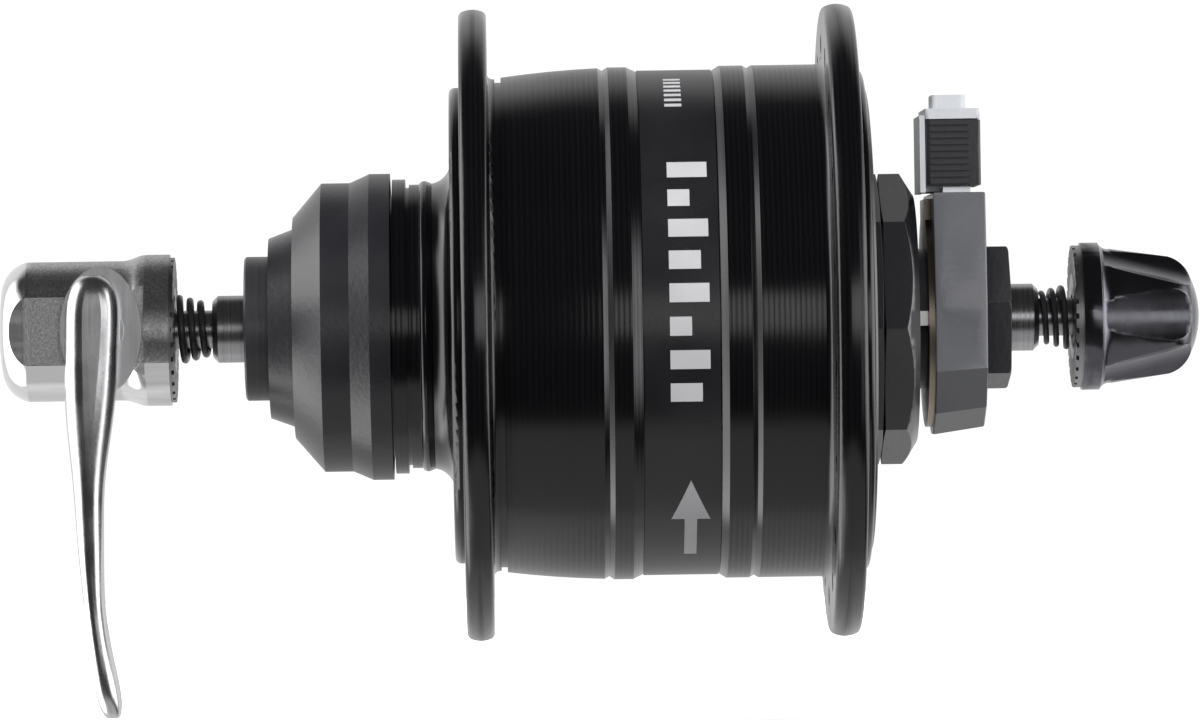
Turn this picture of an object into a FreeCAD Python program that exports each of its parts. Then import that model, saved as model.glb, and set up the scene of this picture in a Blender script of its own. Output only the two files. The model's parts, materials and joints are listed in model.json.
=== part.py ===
"""Front bicycle hub dynamo with a covered rotor mount and a quick-release skewer.

Lengths are millimetres. The wheel turns about the Y axis, +Y points to the lever and the
rotor spline, +X is forward and +Z is up. The origin is on the spin axis, midway between
the faces of the two locknuts.
"""
import FreeCAD, Part
import math
import os
import Sketcher
from types import SimpleNamespace

doc = FreeCAD.newDocument("hub_dynamo")
sheet = doc.addObject("Spreadsheet::Sheet", "Sizes")
ALONG_Y = FreeCAD.Rotation(FreeCAD.Vector(1, 0, 0), -90)
ALONG_X = FreeCAD.Rotation(FreeCAD.Vector(0, 1, 0), 90)

# Driving dimensions. A "_y" value is a station on the spin axis, a "_z" value is a height.
DIMENSIONS = {
    # small gap between pieces that are fitted together
    "clearance": 0.1,
    # axle, locknuts and the stack between them
    "axle_end_radius": 4.4,
    "axle_radius": 4.5,
    "axle_relief_radius": 4.1,
    "axle_relief_width": 0.8,
    "axle_middle_radius": 5.5,
    "axle_collar_radius": 7.0,
    "axle_bore_radius": 2.7,
    "axle_left_y": 54.3,
    "axle_right_y": -53.9,
    "axle_chamfer": 0.7,
    "locknut_face": 50.0,
    "left_locknut_radius": 9.45,
    "left_locknut_y": 45.5,
    "left_spacer_y": 43.0,
    "left_spacer_radius": 8.6,
    "right_locknut_flats": 17.0,
    "right_locknut_y": -46.6,
    "nut_chamfer": 0.5,
    "lead_groove_depth": 1.2,
    "lead_groove_width": 2.2,
    "lead_groove_inner_y": -25.0,
    "lead_groove_outer_y": -43.0,
    # bearings
    "ball_radius": 2.381,
    "ball_circle_radius": 9.75,
    "ball_play": 0.17,
    "cup_radius": 13.0,
    "cup_depth": 3.2,
    "cup_height": 3.6,
    "cone_depth": 2.2,
    "left_ball_y": 35.2,
    "right_ball_y": -33.4,
    "cone_collar_radius": 9.175,
    "cone_lip": 0.45,
    "left_cone_y": 43.0,
    "right_cone_y": -39.0,
    "seal_inner_radius": 10.1,
    "seal_offset": 2.85,
    "seal_thickness": 0.8,
    "cage_inner_radius": 10.5,
    "cage_outer_radius": 11.8,
    "cage_offset": 0.6,
    "cage_width": 1.9,
    "cage_play": 0.1,
    # hub shell
    "spigot_radius": 17.1,
    "spigot_y": 39.0,
    "spigot_chamfer": 0.5,
    "spline_depth": 0.8,
    "spline_width": 1.2,
    "spline_run_out_y": 31.5,
    "collar_radius": 19.3,
    "collar_outer_y": 30.5,
    "collar_inner_y": 28.8,
    "neck_groove_radius": 18.2,
    "neck_groove_y": 28.3,
    "neck_radius": 18.6,
    "neck_end_y": 27.0,
    "bead_radius": 19.0,
    "bead_end_y": 26.0,
    "neck_root_radius": 18.7,
    "neck_root_y": 25.3,
    "fillet_radius_end": 21.4,
    "fillet_end_y": 22.85,
    "fillet_bend": 3.0,
    "left_shoulder_radius": 31.2,
    "left_shoulder_y": 22.9,
    "flange_radius": 41.5,
    "flange_crown": 0.3,
    "flange_crown_bend": 3.4,
    "flange_edge": 0.6,
    "flange_edge_rise": 0.95,
    "flange_edge_bend": 0.85,
    "left_flange_outer_y": 21.5,
    "left_flange_inner_y": 17.9,
    "root_radius": 32.25,
    "root_fillet": 0.8,
    "root_y": 16.9,
    "root_groove_radius": 31.8,
    "barrel_start_radius": 32.45,
    "barrel_start_y": 16.1,
    "barrel_bend": 130.0,
    "barrel_radius": 33.5,
    "barrel_end_y": 3.45,
    "line_groove": 0.35,
    "left_ring_y": 2.15,
    "ring_radius": 33.58,
    "label_ramp_top_y": -0.3,
    "label_top_y": -1.6,
    "label_seat_radius": 32.95,
    "label_end_y": -11.5,
    "label_ramp_end_y": -12.5,
    "right_ring_y": -15.5,
    "right_barrel_y": -16.75,
    "flange_fillet": 1.1,
    "right_flange_inner_y": -26.0,
    "right_flange_outer_y": -29.9,
    "right_shoulder_radius": 32.8,
    "right_shoulder_y": -31.2,
    "shoulder_rounding": 0.8,
    "shell_bore_radius": 31.0,
    "shell_inner_wall_y": 19.5,
    "shell_inner_cone_y": 15.5,
    "shell_inner_cone_radius": 29.0,
    "neck_bore_radius": 14.5,
    "neck_bore_y": 30.0,
    "cup_stop_radius": 11.5,
    "left_spoke_circle_radius": 36.8,
    "right_spoke_circle_radius": 36.2,
    "spoke_hole_radius": 1.3,
    "label_thickness": 0.15,
    "label_gap": 0.1,
    # end cap
    "end_cap_inner_y": -26.0,
    "end_cap_face_y": -31.6,
    "end_cap_rim_radius": 30.2,
    "end_cap_chamfer": 1.0,
    "end_cap_boss_y": -37.7,
    "octagon_radius": 19.1,
    "octagon_chamfer_radius": 16.2,
    "octagon_chamfer_y": -35.3,
    "octagon_margin": 1.0,
    "cap_line_y": -33.0,
    "cap_line_depth": 0.25,
    "seal_groove_y": -27.4,
    "seal_ring_radius": 30.4,
    "seal_cord_radius": 0.58,
    "seal_play": 0.02,
    # generator
    "stator_left_y": 9.0,
    "stator_right_y": -21.0,
    "claw_plate": 2.0,
    "claw_outer_radius": 25.8,
    "claw_finger_depth": 2.0,
    "claw_finger_width": 3.6,
    "claw_tip_gap": 3.0,
    "core_radius": 9.5,
    "bobbin_wall": 0.8,
    "bobbin_radius": 20.0,
    "bobbin_play": 0.2,
    "winding_radius": 19.2,
    "stator_nut_flats": 15.0,
    "stator_nut_y": -24.5,
    "axle_collar_y": 11.5,
    "magnet_left_y": 7.0,
    "magnet_right_y": -19.0,
    "yoke_inner_radius": 29.4,
    "magnet_inner_radius": 26.4,
    "magnet_angle": 88.0,
    "lead_radius": 0.4,
    "lead_hole_radius": 0.8,
    "lead_channel_margin": 0.6,
    "lead_start_x": -10.5,
    "lead_start_y": -18.8,
    "lead_turn_y": -25.2,
    "lead_groove_x": -3.85,
    "lead_enter_y": -28.6,
    "lead_leave_y": -42.3,
    "lead_end_x": -8.0,
    "lead_bend": 1.6,
    # rotor mount cap
    "rim_radius": 20.075,
    "rim_end_y": 30.8,
    "rim_ramp_y": 33.5,
    "cap_radius": 18.925,
    "cap_ramp_end_y": 36.1,
    "cap_cone_y": 39.8,
    "cap_step_radius": 14.5,
    "cap_step_y": 43.6,
    "cap_nose_radius": 13.0,
    "cap_face_radius": 11.8,
    "cap_face_y": 46.8,
    "cap_hole_radius": 9.8,
    "cap_wall": 1.2,
    "cap_shoulder_wall": 0.96,
    # terminal side
    "contact_plate_y": -39.8,
    "contact_plate_radius": 14.2,
    "contact_tongue_half": 6.0,
    "contact_tongue_z": 15.6,
    "terminal_inner_scale": 1.0,
    "terminal_outer_scale": 0.935,
    "terminal_radius": 15.4,
    "tower_half": 12.6,
    "tower_z": 16.3,
    "tower_knee_half": 15.0,
    "tower_knee_z": 1.5,
    "socket_half": 8.3,
    "socket_near_y": -41.0,
    "socket_far_y": -45.2,
    "socket_floor_z": 8.6,
    "blade_x": 4.0,
    "blade_half_width": 1.5,
    "blade_thickness": 0.6,
    "blade_y": -43.1,
    "blade_foot_z": 7.4,
    "blade_top_z": 14.0,
    "contact_strip_width": 0.35,
    "contact_strip_offset": 0.75,
    "contact_strip_lift": 1.0,
    "insulator_half": 0.95,
    "insulator_start_y": -38.0,
    "insulator_x": -9.9,
    "insulator_inner_x": -4.5,
    # plug
    "stem_half": 8.0,
    "stem_gap": 0.3,
    "plug_gap": 0.2,
    "stem_floor_z": 9.0,
    "plug_core_half": 6.6,
    "plug_inner_y": -39.1,
    "plug_strip_y": -38.4,
    "plug_strip_half": 7.6,
    "plug_strip_z": 16.4,
    "plug_strip_lap": 0.5,
    "plug_core_far_y": -44.6,
    "plug_plate_z": 25.95,
    "plug_plate_top_z": 27.3,
    "plug_half": 8.4,
    "plug_far_y": -46.3,
    "plug_nub_half": 4.2,
    "plug_nub_near_y": -40.2,
    "plug_nub_far_y": -44.6,
    "plug_nub_z": 29.2,
    "nub_rounding": 0.7,
    "wire_hole_radius": 1.1,
    "wire_hole_x": 2.1,
    "wire_hole_depth": 5.0,
    "cover_z": 17.3,
    "cover_top_z": 25.8,
    "cover_cavity_half": 6.8,
    "cover_cavity_y": -44.8,
    "rib_height": 0.25,
    "rib_width": 0.42,
    "rib_margin_y": -44.7,
    "plug_rounding": 0.5,
    # skewer and its springs
    "rod_radius": 2.5,
    "rod_end_y": -71.0,
    "rod_chamfer": 0.5,
    "eye_half": 2.9,
    "eye_radius": 5.8,
    "eye_root_y": 65.0,
    "pivot_y": 68.5,
    "cam_offset": 0.9,
    "cam_radius": 2.95,
    "cam_play": 0.3,
    "cam_slot_reach": 1.4,
    "cam_slot_bend": 3.283,
    "journal_radius": 3.95,
    "far_journal_radius": 1.95,
    "journal_play": 0.1,
    "left_spring_wire": 0.46,
    "left_spring_big": 4.15,
    "left_spring_small": 3.15,
    "left_spring_turns": 2.75,
    "spring_seat_gap": 0.1,
    "right_spring_wire": 0.38,
    "right_spring_big": 4.0,
    "right_spring_small": 3.1,
    "right_spring_turns": 2.75,
    # lever housing
    "housing_radius": 9.15,
    "housing_waist_y": 66.2,
    "housing_flare_y": 62.9,
    "housing_flare_radius": 9.92,
    "housing_flare_mid_y": 64.5,
    "housing_flare_mid_radius": 9.5,
    "housing_flare_bend": 4.5,
    "housing_flat_x": -8.0,
    "housing_flat_y": 63.0,
    "housing_face_y": 59.8,
    "housing_dome_y": 78.5,
    "housing_dome_bend": 4.2,
    "housing_end_radius": 5.2,
    "housing_end_y": 81.9,
    "housing_end_bend": 34.0,
    "housing_tip_y": 82.3,
    "housing_pocket_half_x": 3.3,
    "housing_pocket_half_z": 6.3,
    "housing_pocket_y": 75.8,
    "clamp_ring_radius": 9.5,
    "clamp_ring_y": 59.2,
    "clamp_ring_back_y": 61.0,
    "clamp_ring_hole": 2.85,
    "clamp_seat_radius": 9.0,
    "tooth_depth": 0.35,
    "tooth_inner_radius": 5.6,
    "cam_nut_radius": 3.2,
    "cam_nut_inner_x": 7.3,
    "cam_nut_outer_x": 9.0,
    "cam_nut_play": 0.35,
    # lever
    "lever_boss_half_y": 5.3,
    "lever_boss_half_z": 8.3,
    "lever_boss_radius": 5.2,
    "lever_boss_inner_x": -8.3,
    "lever_plate_inner_x": -10.25,
    "lever_plate_outer_x": -11.3,
    "lever_socket_radius": 3.0,
    "lever_socket_x": -12.0,
    # adjusting nut
    "nut_face_y": -58.4,
    "nut_ring_y": -59.5,
    "nut_ring_radius": 9.3,
    "nut_ring_hole": 2.9,
    "nut_flange_radius": 9.65,
    "nut_flange_y": -61.8,
    "nut_shoulder_radius": 8.8,
    "nut_shoulder_y": -63.5,
    "nut_waist_radius": 7.7,
    "nut_waist_y": -71.0,
    "nut_flange_bend": 1.6,
    "nut_dome_radius": 5.0,
    "nut_dome_y": -73.9,
    "nut_dome_bend": 4.2,
    "nut_end_bend": 12.0,
    "nut_end_y": -75.05,
    "nut_bore_radius": 2.6,
    "nut_bore_y": -73.2,
    "insert_radius": 4.0,
    "insert_grip": 0.03,
    "insert_near_y": -66.5,
    "insert_far_y": -68.5,
    "flute_radius": 7.5,
    "flute_start_y": -62.3,
    "flute_near_centre": 16.0,
    "flute_far_centre": 12.4,
}

BALL_COUNT = 9
SPOKES_PER_FLANGE = 18
SPLINE_COUNT = 42
FACE_TEETH = 30
CLAWS_PER_SIDE = 14
MAGNET_COUNT = 4
NUT_FLUTES = 6
COVER_RIBS = 10
TERMINAL_CORNERS = (-81, -54, -27)
VOLUME_TOLERANCE = 0.02
HEIGHT_TOLERANCE = 0.001
OCTAGON_SIDES = 8
OCTAGON_TURN = 4
LOCKNUT_TURN = 48
FULLNESS = 0.95

# lever sections from its top end to its tip: height, centre across Y, half thickness in Y,
# centre in X and half width in X
LEVER_SECTIONS = (
    (7.1, 69.4, 1.3, -12.4, 1.2),
    (6.3, 69.4, 2.35, -12.6, 2.0),
    (4.2, 69.4, 3.25, -12.75, 2.35),
    (0.0, 69.5, 3.5, -12.75, 2.4),
    (-10.0, 69.95, 3.2, -12.4, 2.6),
    (-19.5, 70.3, 2.1, -11.2, 2.8),
    (-28.0, 70.3, 1.6, -8.6, 3.9),
    (-35.9, 70.0, 1.2, -6.4, 5.0),
    (-44.1, 69.0, 1.35, -5.0, 5.7),
    (-49.0, 68.2, 1.3, -4.6, 4.6),
    (-50.5, 67.9, 0.8, -4.6, 3.0),
)


class Size:
    """A length with its value and the sheet expression that drives it."""

    def __init__(self, value, text):
        self.value = float(value)
        self.text = text

    def __float__(self):
        return self.value

    def __neg__(self):
        return Size(-self.value, "(0 - %s)" % self.text)

    def __add__(self, other):
        other = as_size(other)
        return Size(self.value + other.value, "(%s + %s)" % (self.text, other.text))

    def __sub__(self, other):
        other = as_size(other)
        return Size(self.value - other.value, "(%s - %s)" % (self.text, other.text))

    def __mul__(self, other):
        other = as_size(other)
        return Size(self.value * other.value, "(%s * %s)" % (self.text, other.text))

    def __truediv__(self, other):
        other = as_size(other)
        return Size(self.value / other.value, "(%s / %s)" % (self.text, other.text))


def as_size(number):
    """Wraps a plain number so that it can stand in an expression."""
    if isinstance(number, Size):
        return number
    return Size(number, "(%.6f)" % number)


def fill_sheet():
    """Writes every driving dimension into the sheet and returns them by name."""
    sizes = {}
    for row, (alias, value) in enumerate(DIMENSIONS.items(), 1):
        sheet.set("A%d" % row, alias)
        sheet.set("B%d" % row, str(value))
        sheet.setAlias("B%d" % row, alias)
        sizes[alias] = Size(value, "Sizes.%s" % alias)
    doc.recompute()
    return SimpleNamespace(**sizes)


S = fill_sheet()
ZERO = as_size(0.0)


def bind(item, prop, size):
    """Ties a property to the sheet."""
    item.setExpression(prop, as_size(size).text)


def new_body(name):
    body = doc.addObject("PartDesign::Body", name)
    body.Label = name
    return body


def origin_item(body, role):
    """The body's own origin plane or axis with this role."""
    for item in body.Origin.OriginFeatures:
        if item.Role == role:
            return item
    raise ValueError(role)


def new_sketch(body, name, role="XY_Plane", offset=None):
    """A sketch on an origin plane, moved along the plane's normal by offset."""
    sketch = body.newObject("Sketcher::SketchObject", name)
    sketch.AttachmentSupport = [(origin_item(body, role), "")]
    sketch.MapMode = "FlatFace"
    if offset is not None:
        sketch.AttachmentOffset = FreeCAD.Placement(
            FreeCAD.Vector(0, 0, float(offset)), FreeCAD.Rotation()
        )
        bind(sketch, "AttachmentOffset.Base.z", offset)
    return sketch


def place_point(sketch, geometry, position, across, up):
    """Fixes a point of the sketch by its distances from the origin."""
    for kind, size in (("DistanceX", across), ("DistanceY", up)):
        constraint = Sketcher.Constraint(kind, -1, 1, geometry, position, float(size))
        index = sketch.addConstraint(constraint)
        bind(sketch, "Constraints[%d]" % index, size)


def arc_between(start, end, bend):
    """A circular arc with radius abs(bend); a positive bend bulges to the right of the way."""
    chord = end - start
    radius = abs(bend)
    rise = math.sqrt(max(radius**2 - (chord.Length / 2) ** 2, 0))
    left = FreeCAD.Vector(-chord.y, chord.x, 0).normalize()
    centre = (start + end) / 2 + left * math.copysign(rise, bend)
    circle = Part.Circle(centre, FreeCAD.Vector(0, 0, 1), radius)
    first = math.atan2(start.y - centre.y, start.x - centre.x)
    last = math.atan2(end.y - centre.y, end.x - centre.x)
    if bend < 0:
        first, last = last, first
    return Part.ArcOfCircle(circle, first, last)


def draw_outline(sketch, points):
    """A closed outline. A third value at a corner bends the edge that leaves it."""
    corners = [FreeCAD.Vector(float(p[0]), float(p[1]), 0) for p in points]
    count = len(points)
    tails = []
    heads = []
    for i, point in enumerate(points):
        start = corners[i]
        end = corners[(i + 1) % count]
        bend = point[2] if len(point) > 2 else None
        if bend is None:
            edge = Part.LineSegment(start, end)
            flipped = False
        else:
            edge = arc_between(start, end, float(bend))
            flipped = float(bend) < 0
        index = sketch.addGeometry(edge, False)
        tails.append((index, 2 if flipped else 1))
        heads.append((index, 1 if flipped else 2))
        if bend is not None:
            radius = bend if float(bend) > 0 else -bend
            number = sketch.addConstraint(
                Sketcher.Constraint("Radius", index, float(radius))
            )
            bind(sketch, "Constraints[%d]" % number, radius)
    for i in range(count):
        head = heads[i - 1]
        sketch.addConstraint(
            Sketcher.Constraint("Coincident", head[0], head[1], tails[i][0], tails[i][1])
        )
        place_point(sketch, tails[i][0], tails[i][1], as_size(points[i][0]), as_size(points[i][1]))


def draw_circle(sketch, across, up, radius):
    """A full circle placed and sized from the sheet."""
    centre = FreeCAD.Vector(float(across), float(up), 0)
    circle = Part.Circle(centre, FreeCAD.Vector(0, 0, 1), float(radius))
    index = sketch.addGeometry(circle, False)
    place_point(sketch, index, 3, as_size(across), as_size(up))
    number = sketch.addConstraint(Sketcher.Constraint("Radius", index, float(radius)))
    bind(sketch, "Constraints[%d]" % number, radius)


def rectangle(left, right, low, high):
    return [(left, low), (right, low), (right, high), (left, high)]


def turned(name, points):
    """A body turned about the spin axis; each point is (radius, station)."""
    body = new_body(name)
    sketch = new_sketch(body, name + "_outline")
    draw_outline(sketch, points)
    turning = body.newObject("PartDesign::Revolution", name + "_turning")
    turning.Profile = sketch
    turning.ReferenceAxis = (sketch, ["V_Axis"])
    turning.Angle = 360
    return body


def cut_groove(body, name, points):
    """Turns a groove into a body; each point is (radius, station)."""
    doc.recompute()
    before = body.Shape.Volume
    sketch = new_sketch(body, name + "_outline")
    draw_outline(sketch, points)
    groove = body.newObject("PartDesign::Groove", name)
    groove.Profile = sketch
    groove.ReferenceAxis = (sketch, ["V_Axis"])
    groove.Angle = 360
    doc.recompute()
    if body.Shape.Volume >= before:
        raise ValueError(name + " cuts nothing")
    return groove


def extrude(body, name, draw, role, start, end, cut=False):
    """Pads or pockets a sketch between two stations of an origin plane's axis, start < end."""
    normal = -1 if role == "XZ_Plane" else 1
    offset = -start if normal < 0 else start
    before = body.Shape.Volume if cut else 0
    sketch = new_sketch(body, name + "_outline", role, offset)
    draw(sketch)
    kind = "PartDesign::Pocket" if cut else "PartDesign::Pad"
    feature = body.newObject(kind, name)
    feature.Profile = sketch
    feature.Type = "Length"
    bind(feature, "Length", end - start)
    against = normal < 0
    feature.Reversed = against != cut
    doc.recompute()
    if cut and body.Shape.Volume >= before:
        raise ValueError(name + " cuts nothing")
    return feature


def around_axis(body, name, features, count, role="Y_Axis"):
    """Repeats features evenly about an axis."""
    pattern = body.newObject("PartDesign::PolarPattern", name)
    pattern.Originals = features
    pattern.Axis = (origin_item(body, role), [""])
    pattern.Angle = 360
    pattern.Occurrences = count
    body.Tip = pattern
    doc.recompute()
    return pattern


def round_edges(body, name, radius, names):
    """Fillets named edges of the body's tip."""
    if not names:
        raise ValueError(name + " has no edges")
    base = body.Tip
    fillet = body.newObject("PartDesign::Fillet", name)
    fillet.Base = (base, names)
    bind(fillet, "Radius", radius)
    body.Tip = fillet
    doc.recompute()
    return fillet


def polygon(radius, count, turn):
    """Corners of a regular polygon, the first one turned from the +X side."""
    corners = []
    for i in range(count):
        angle = math.radians(turn + 360 * i / count)
        corners.append((radius * math.cos(angle), radius * math.sin(angle)))
    return corners


def hexagon(flats, turn):
    return polygon(flats / math.sqrt(3), 6, turn)


def turned_box(near, far, half, angle):
    """Corners of a box that reaches from one radius to another at this angle in degrees."""
    cosine = math.cos(math.radians(angle))
    sine = math.sin(math.radians(angle))
    corners = []
    for along, across in ((near, -half), (far, -half), (far, half), (near, half)):
        corners.append((along * cosine - across * sine, along * sine + across * cosine))
    return corners


def cylinder(name, radius, start, end):
    """A cylinder along the spin axis between two stations."""
    item = doc.addObject("Part::Cylinder", name)
    item.Placement = FreeCAD.Placement(FreeCAD.Vector(0, float(start), 0), ALONG_Y)
    bind(item, "Radius", radius)
    bind(item, "Height", end - start)
    bind(item, "Placement.Base.y", start)
    return item


def cross_cylinder(name, radius, start, end, station):
    """A cylinder along X between two places, centred on a station of the spin axis."""
    item = doc.addObject("Part::Cylinder", name)
    place = FreeCAD.Vector(float(start), float(station), 0)
    item.Placement = FreeCAD.Placement(place, ALONG_X)
    bind(item, "Radius", radius)
    bind(item, "Height", end - start)
    bind(item, "Placement.Base.x", start)
    bind(item, "Placement.Base.y", station)
    return item


def joined(kind, name, items):
    """A Part::MultiFuse or Part::Compound of other objects."""
    item = doc.addObject(kind, name)
    item.Label = name
    if kind == "Part::Compound":
        item.Links = items
    else:
        item.Shapes = items
    return item


def cut_from(name, base, tool):
    item = doc.addObject("Part::Cut", name)
    item.Label = name
    item.Base = base
    item.Tool = tool
    return item


def ring(name, outer, inner, start, end):
    """A plain ring about the spin axis."""
    return turned(name, rectangle(inner, outer, start, end))


# ---------------------------------------------------------------- axle and its stack


def make_axle():
    """The hollow axle, with a groove for the coil lead on its rear side."""
    chamfer = S.axle_chamfer
    body = turned("axle", [
        (S.axle_bore_radius, S.axle_left_y),
        (S.axle_end_radius - chamfer, S.axle_left_y),
        (S.axle_end_radius, S.axle_left_y - chamfer),
        (S.axle_end_radius, S.locknut_face),
        (S.axle_relief_radius, S.locknut_face),
        (S.axle_relief_radius, S.locknut_face - S.axle_relief_width),
        (S.axle_radius, S.locknut_face - S.axle_relief_width),
        (S.axle_radius, S.axle_collar_y),
        (S.axle_collar_radius, S.axle_collar_y),
        (S.axle_collar_radius, S.stator_left_y),
        (S.axle_middle_radius, S.stator_left_y),
        (S.axle_middle_radius, S.lead_groove_inner_y),
        (S.axle_radius, S.lead_groove_inner_y),
        (S.axle_radius, S.axle_relief_width - S.locknut_face),
        (S.axle_relief_radius, S.axle_relief_width - S.locknut_face),
        (S.axle_relief_radius, -S.locknut_face),
        (S.axle_end_radius, -S.locknut_face),
        (S.axle_end_radius, S.axle_right_y + chamfer),
        (S.axle_end_radius - chamfer, S.axle_right_y),
        (S.axle_bore_radius, S.axle_right_y),
    ])
    doc.recompute()
    floor = S.lead_groove_depth - S.axle_radius
    half = S.lead_groove_width / 2
    groove = rectangle(-S.axle_collar_radius, floor, -half, half)
    extrude(body, "lead_groove", lambda sketch: draw_outline(sketch, groove), "XZ_Plane",
            S.lead_groove_outer_y, S.lead_groove_inner_y, cut=True)
    return body


def race_radius():
    return S.ball_radius + S.ball_play


def make_cone(name, centre, side, end):
    """A bearing cone; side is 1 where outboard is +Y and -1 where it is -Y."""
    inner = centre - S.cone_depth * side
    race = race_radius()
    return turned(name, [
        (S.axle_radius, inner),
        (S.ball_circle_radius - race, inner),
        (S.ball_circle_radius - race, centre, race * -side),
        (S.ball_circle_radius, centre + race * side),
        (S.ball_circle_radius, centre + (race + S.cone_lip) * side),
        (S.cone_collar_radius, centre + (race + S.cone_lip * 2) * side),
        (S.cone_collar_radius, end),
        (S.axle_radius, end),
    ])


def make_right_cone():
    """The right cone has a slot in its outer face where the coil lead comes out."""
    body = make_cone("right_cone", S.right_ball_y, -1, S.right_cone_y)
    doc.recompute()
    slot = rectangle(S.insulator_x, S.clearance - S.axle_radius, -S.insulator_half,
                     S.insulator_half)
    extrude(body, "insulator_slot", lambda sketch: draw_outline(sketch, slot), "XZ_Plane",
            S.right_cone_y, S.insulator_start_y, cut=True)
    return body


def make_cup(name, centre, side):
    """A bearing cup, pressed into the shell or the end cap."""
    inner = centre - S.cup_depth * side
    outer = centre + S.cup_height * side
    race = race_radius()
    return turned(name, [
        (S.cup_radius, inner),
        (S.ball_circle_radius, inner),
        (S.ball_circle_radius, centre - race * side, race * side),
        (S.ball_circle_radius + race, centre),
        (S.ball_circle_radius + race, outer),
        (S.cup_radius, outer),
    ])


def make_dust_seal(name, centre, side):
    """A rubber ring in the mouth of the cup, clear of the cone."""
    start = centre + S.seal_offset * side
    end = start + S.seal_thickness * side
    outer = S.ball_circle_radius + race_radius()
    if side < 0:
        start, end = end, start
    return ring(name, outer, S.seal_inner_radius, start, end)


def ball_row(name, centre, radius):
    """One sphere for each ball of a row."""
    spheres = []
    for i in range(BALL_COUNT):
        angle = 2 * math.pi * i / BALL_COUNT
        sphere = doc.addObject("Part::Sphere", "%s_%d" % (name, i + 1))
        bind(sphere, "Radius", radius)
        bind(sphere, "Placement.Base.x", S.ball_circle_radius * math.cos(angle))
        bind(sphere, "Placement.Base.y", centre)
        bind(sphere, "Placement.Base.z", S.ball_circle_radius * math.sin(angle))
        spheres.append(sphere)
    return joined("Part::Compound", name, spheres)


def make_ball_cage(name, centre, side):
    """A pressed ring with a pocket round each ball."""
    start = centre + S.cage_offset * side
    end = start + S.cage_width * side
    if side < 0:
        start, end = end, start
    outer = cylinder(name + "_outer", S.cage_outer_radius, start, end)
    inner = cylinder(name + "_inner", S.cage_inner_radius, start, end)
    blank = cut_from(name + "_blank", outer, inner)
    pockets = ball_row(name + "_pockets", centre, S.ball_radius + S.cage_play)
    return cut_from(name, blank, pockets)


def make_left_locknut():
    """A round locknut with a small chamfer round both faces."""
    chamfer = S.nut_chamfer
    outer = S.left_locknut_radius
    return turned("left_locknut", [
        (S.axle_radius, S.left_locknut_y),
        (outer - chamfer, S.left_locknut_y),
        (outer, S.left_locknut_y + chamfer),
        (outer, S.locknut_face - chamfer / 2),
        (outer - chamfer / 2, S.locknut_face),
        (S.axle_radius, S.locknut_face),
    ])


def hex_nut(name, flats, turn, start, end, bore, chamfer):
    """A hexagon nut on the spin axis with a chamfer on its lower face."""
    body = new_body(name)
    outline = hexagon(flats, turn)
    extrude(body, name + "_hexagon", lambda sketch: draw_outline(sketch, outline), "XZ_Plane",
            start, end)
    extrude(body, name + "_bore", lambda sketch: draw_circle(sketch, ZERO, ZERO, bore),
            "XZ_Plane", start, end, cut=True)
    corner = flats / math.sqrt(3)
    cut_groove(body, name + "_chamfer", [
        (corner - chamfer, start),
        (corner + chamfer, start),
        (corner + chamfer, start + chamfer),
    ])
    return body


def make_contact_plate():
    """A thin earth plate behind the terminal block, with a tongue up to the plug."""
    body = new_body("contact_plate")
    start = S.contact_plate_y
    end = S.right_cone_y
    extrude(body, "plate_disc",
            lambda sketch: draw_circle(sketch, ZERO, ZERO, S.contact_plate_radius),
            "XZ_Plane", start, end)
    half = S.contact_tongue_half
    tongue = rectangle(-half, half, S.axle_radius, S.contact_tongue_z)
    extrude(body, "plate_tongue", lambda sketch: draw_outline(sketch, tongue), "XZ_Plane",
            start, end)
    extrude(body, "plate_bore", lambda sketch: draw_circle(sketch, ZERO, ZERO, S.axle_radius),
            "XZ_Plane", start, end, cut=True)
    return body


def terminal_outline(scale):
    """The terminal block's outline: a faceted lower half and a tower for the plug."""
    half = []
    for angle in TERMINAL_CORNERS:
        across = S.terminal_radius * math.cos(math.radians(angle))
        up = S.terminal_radius * math.sin(math.radians(angle))
        half.append((across * scale, up * scale))
    half.append((S.tower_knee_half * scale, S.tower_knee_z))
    half.append((S.tower_half * scale, S.tower_z))
    mirrored = [(-across, up) for across, up in reversed(half)]
    return half + mirrored


def make_terminal_block():
    """The moulded block that clamps on the axle and holds the plug's socket."""
    body = new_body("terminal_block")
    start = S.right_locknut_y
    end = S.contact_plate_y
    inner = new_sketch(body, "terminal_inner_face", "XZ_Plane", -end)
    draw_outline(inner, terminal_outline(S.terminal_inner_scale))
    outer = new_sketch(body, "terminal_outer_face", "XZ_Plane", -start)
    draw_outline(outer, terminal_outline(S.terminal_outer_scale))
    loft = body.newObject("PartDesign::AdditiveLoft", "terminal_loft")
    loft.Profile = inner
    loft.Sections = [outer]
    loft.Ruled = True
    doc.recompute()
    extrude(body, "terminal_bore", lambda sketch: draw_circle(sketch, ZERO, ZERO, S.axle_radius),
            "XZ_Plane", start, end, cut=True)
    socket = rectangle(-S.socket_half, S.socket_half, S.socket_far_y, S.socket_near_y)
    extrude(body, "plug_socket", lambda sketch: draw_outline(sketch, socket), "XY_Plane",
            S.socket_floor_z, S.tower_z, cut=True)
    for side in (-1, 1):
        foot = blade_outline(side)
        extrude(body, "blade_seat_%d" % (side + 1),
                lambda sketch, foot=foot: draw_outline(sketch, foot), "XY_Plane",
                S.blade_foot_z, S.socket_floor_z, cut=True)
    channel = rectangle(S.lead_end_x - S.lead_channel_margin, S.lead_radius - S.axle_radius,
                        -S.lead_hole_radius, S.lead_hole_radius)
    extrude(body, "lead_channel", lambda sketch: draw_outline(sketch, channel), "XZ_Plane",
            S.lead_leave_y - S.lead_hole_radius, S.lead_leave_y + S.lead_bend, cut=True)
    return body


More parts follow.
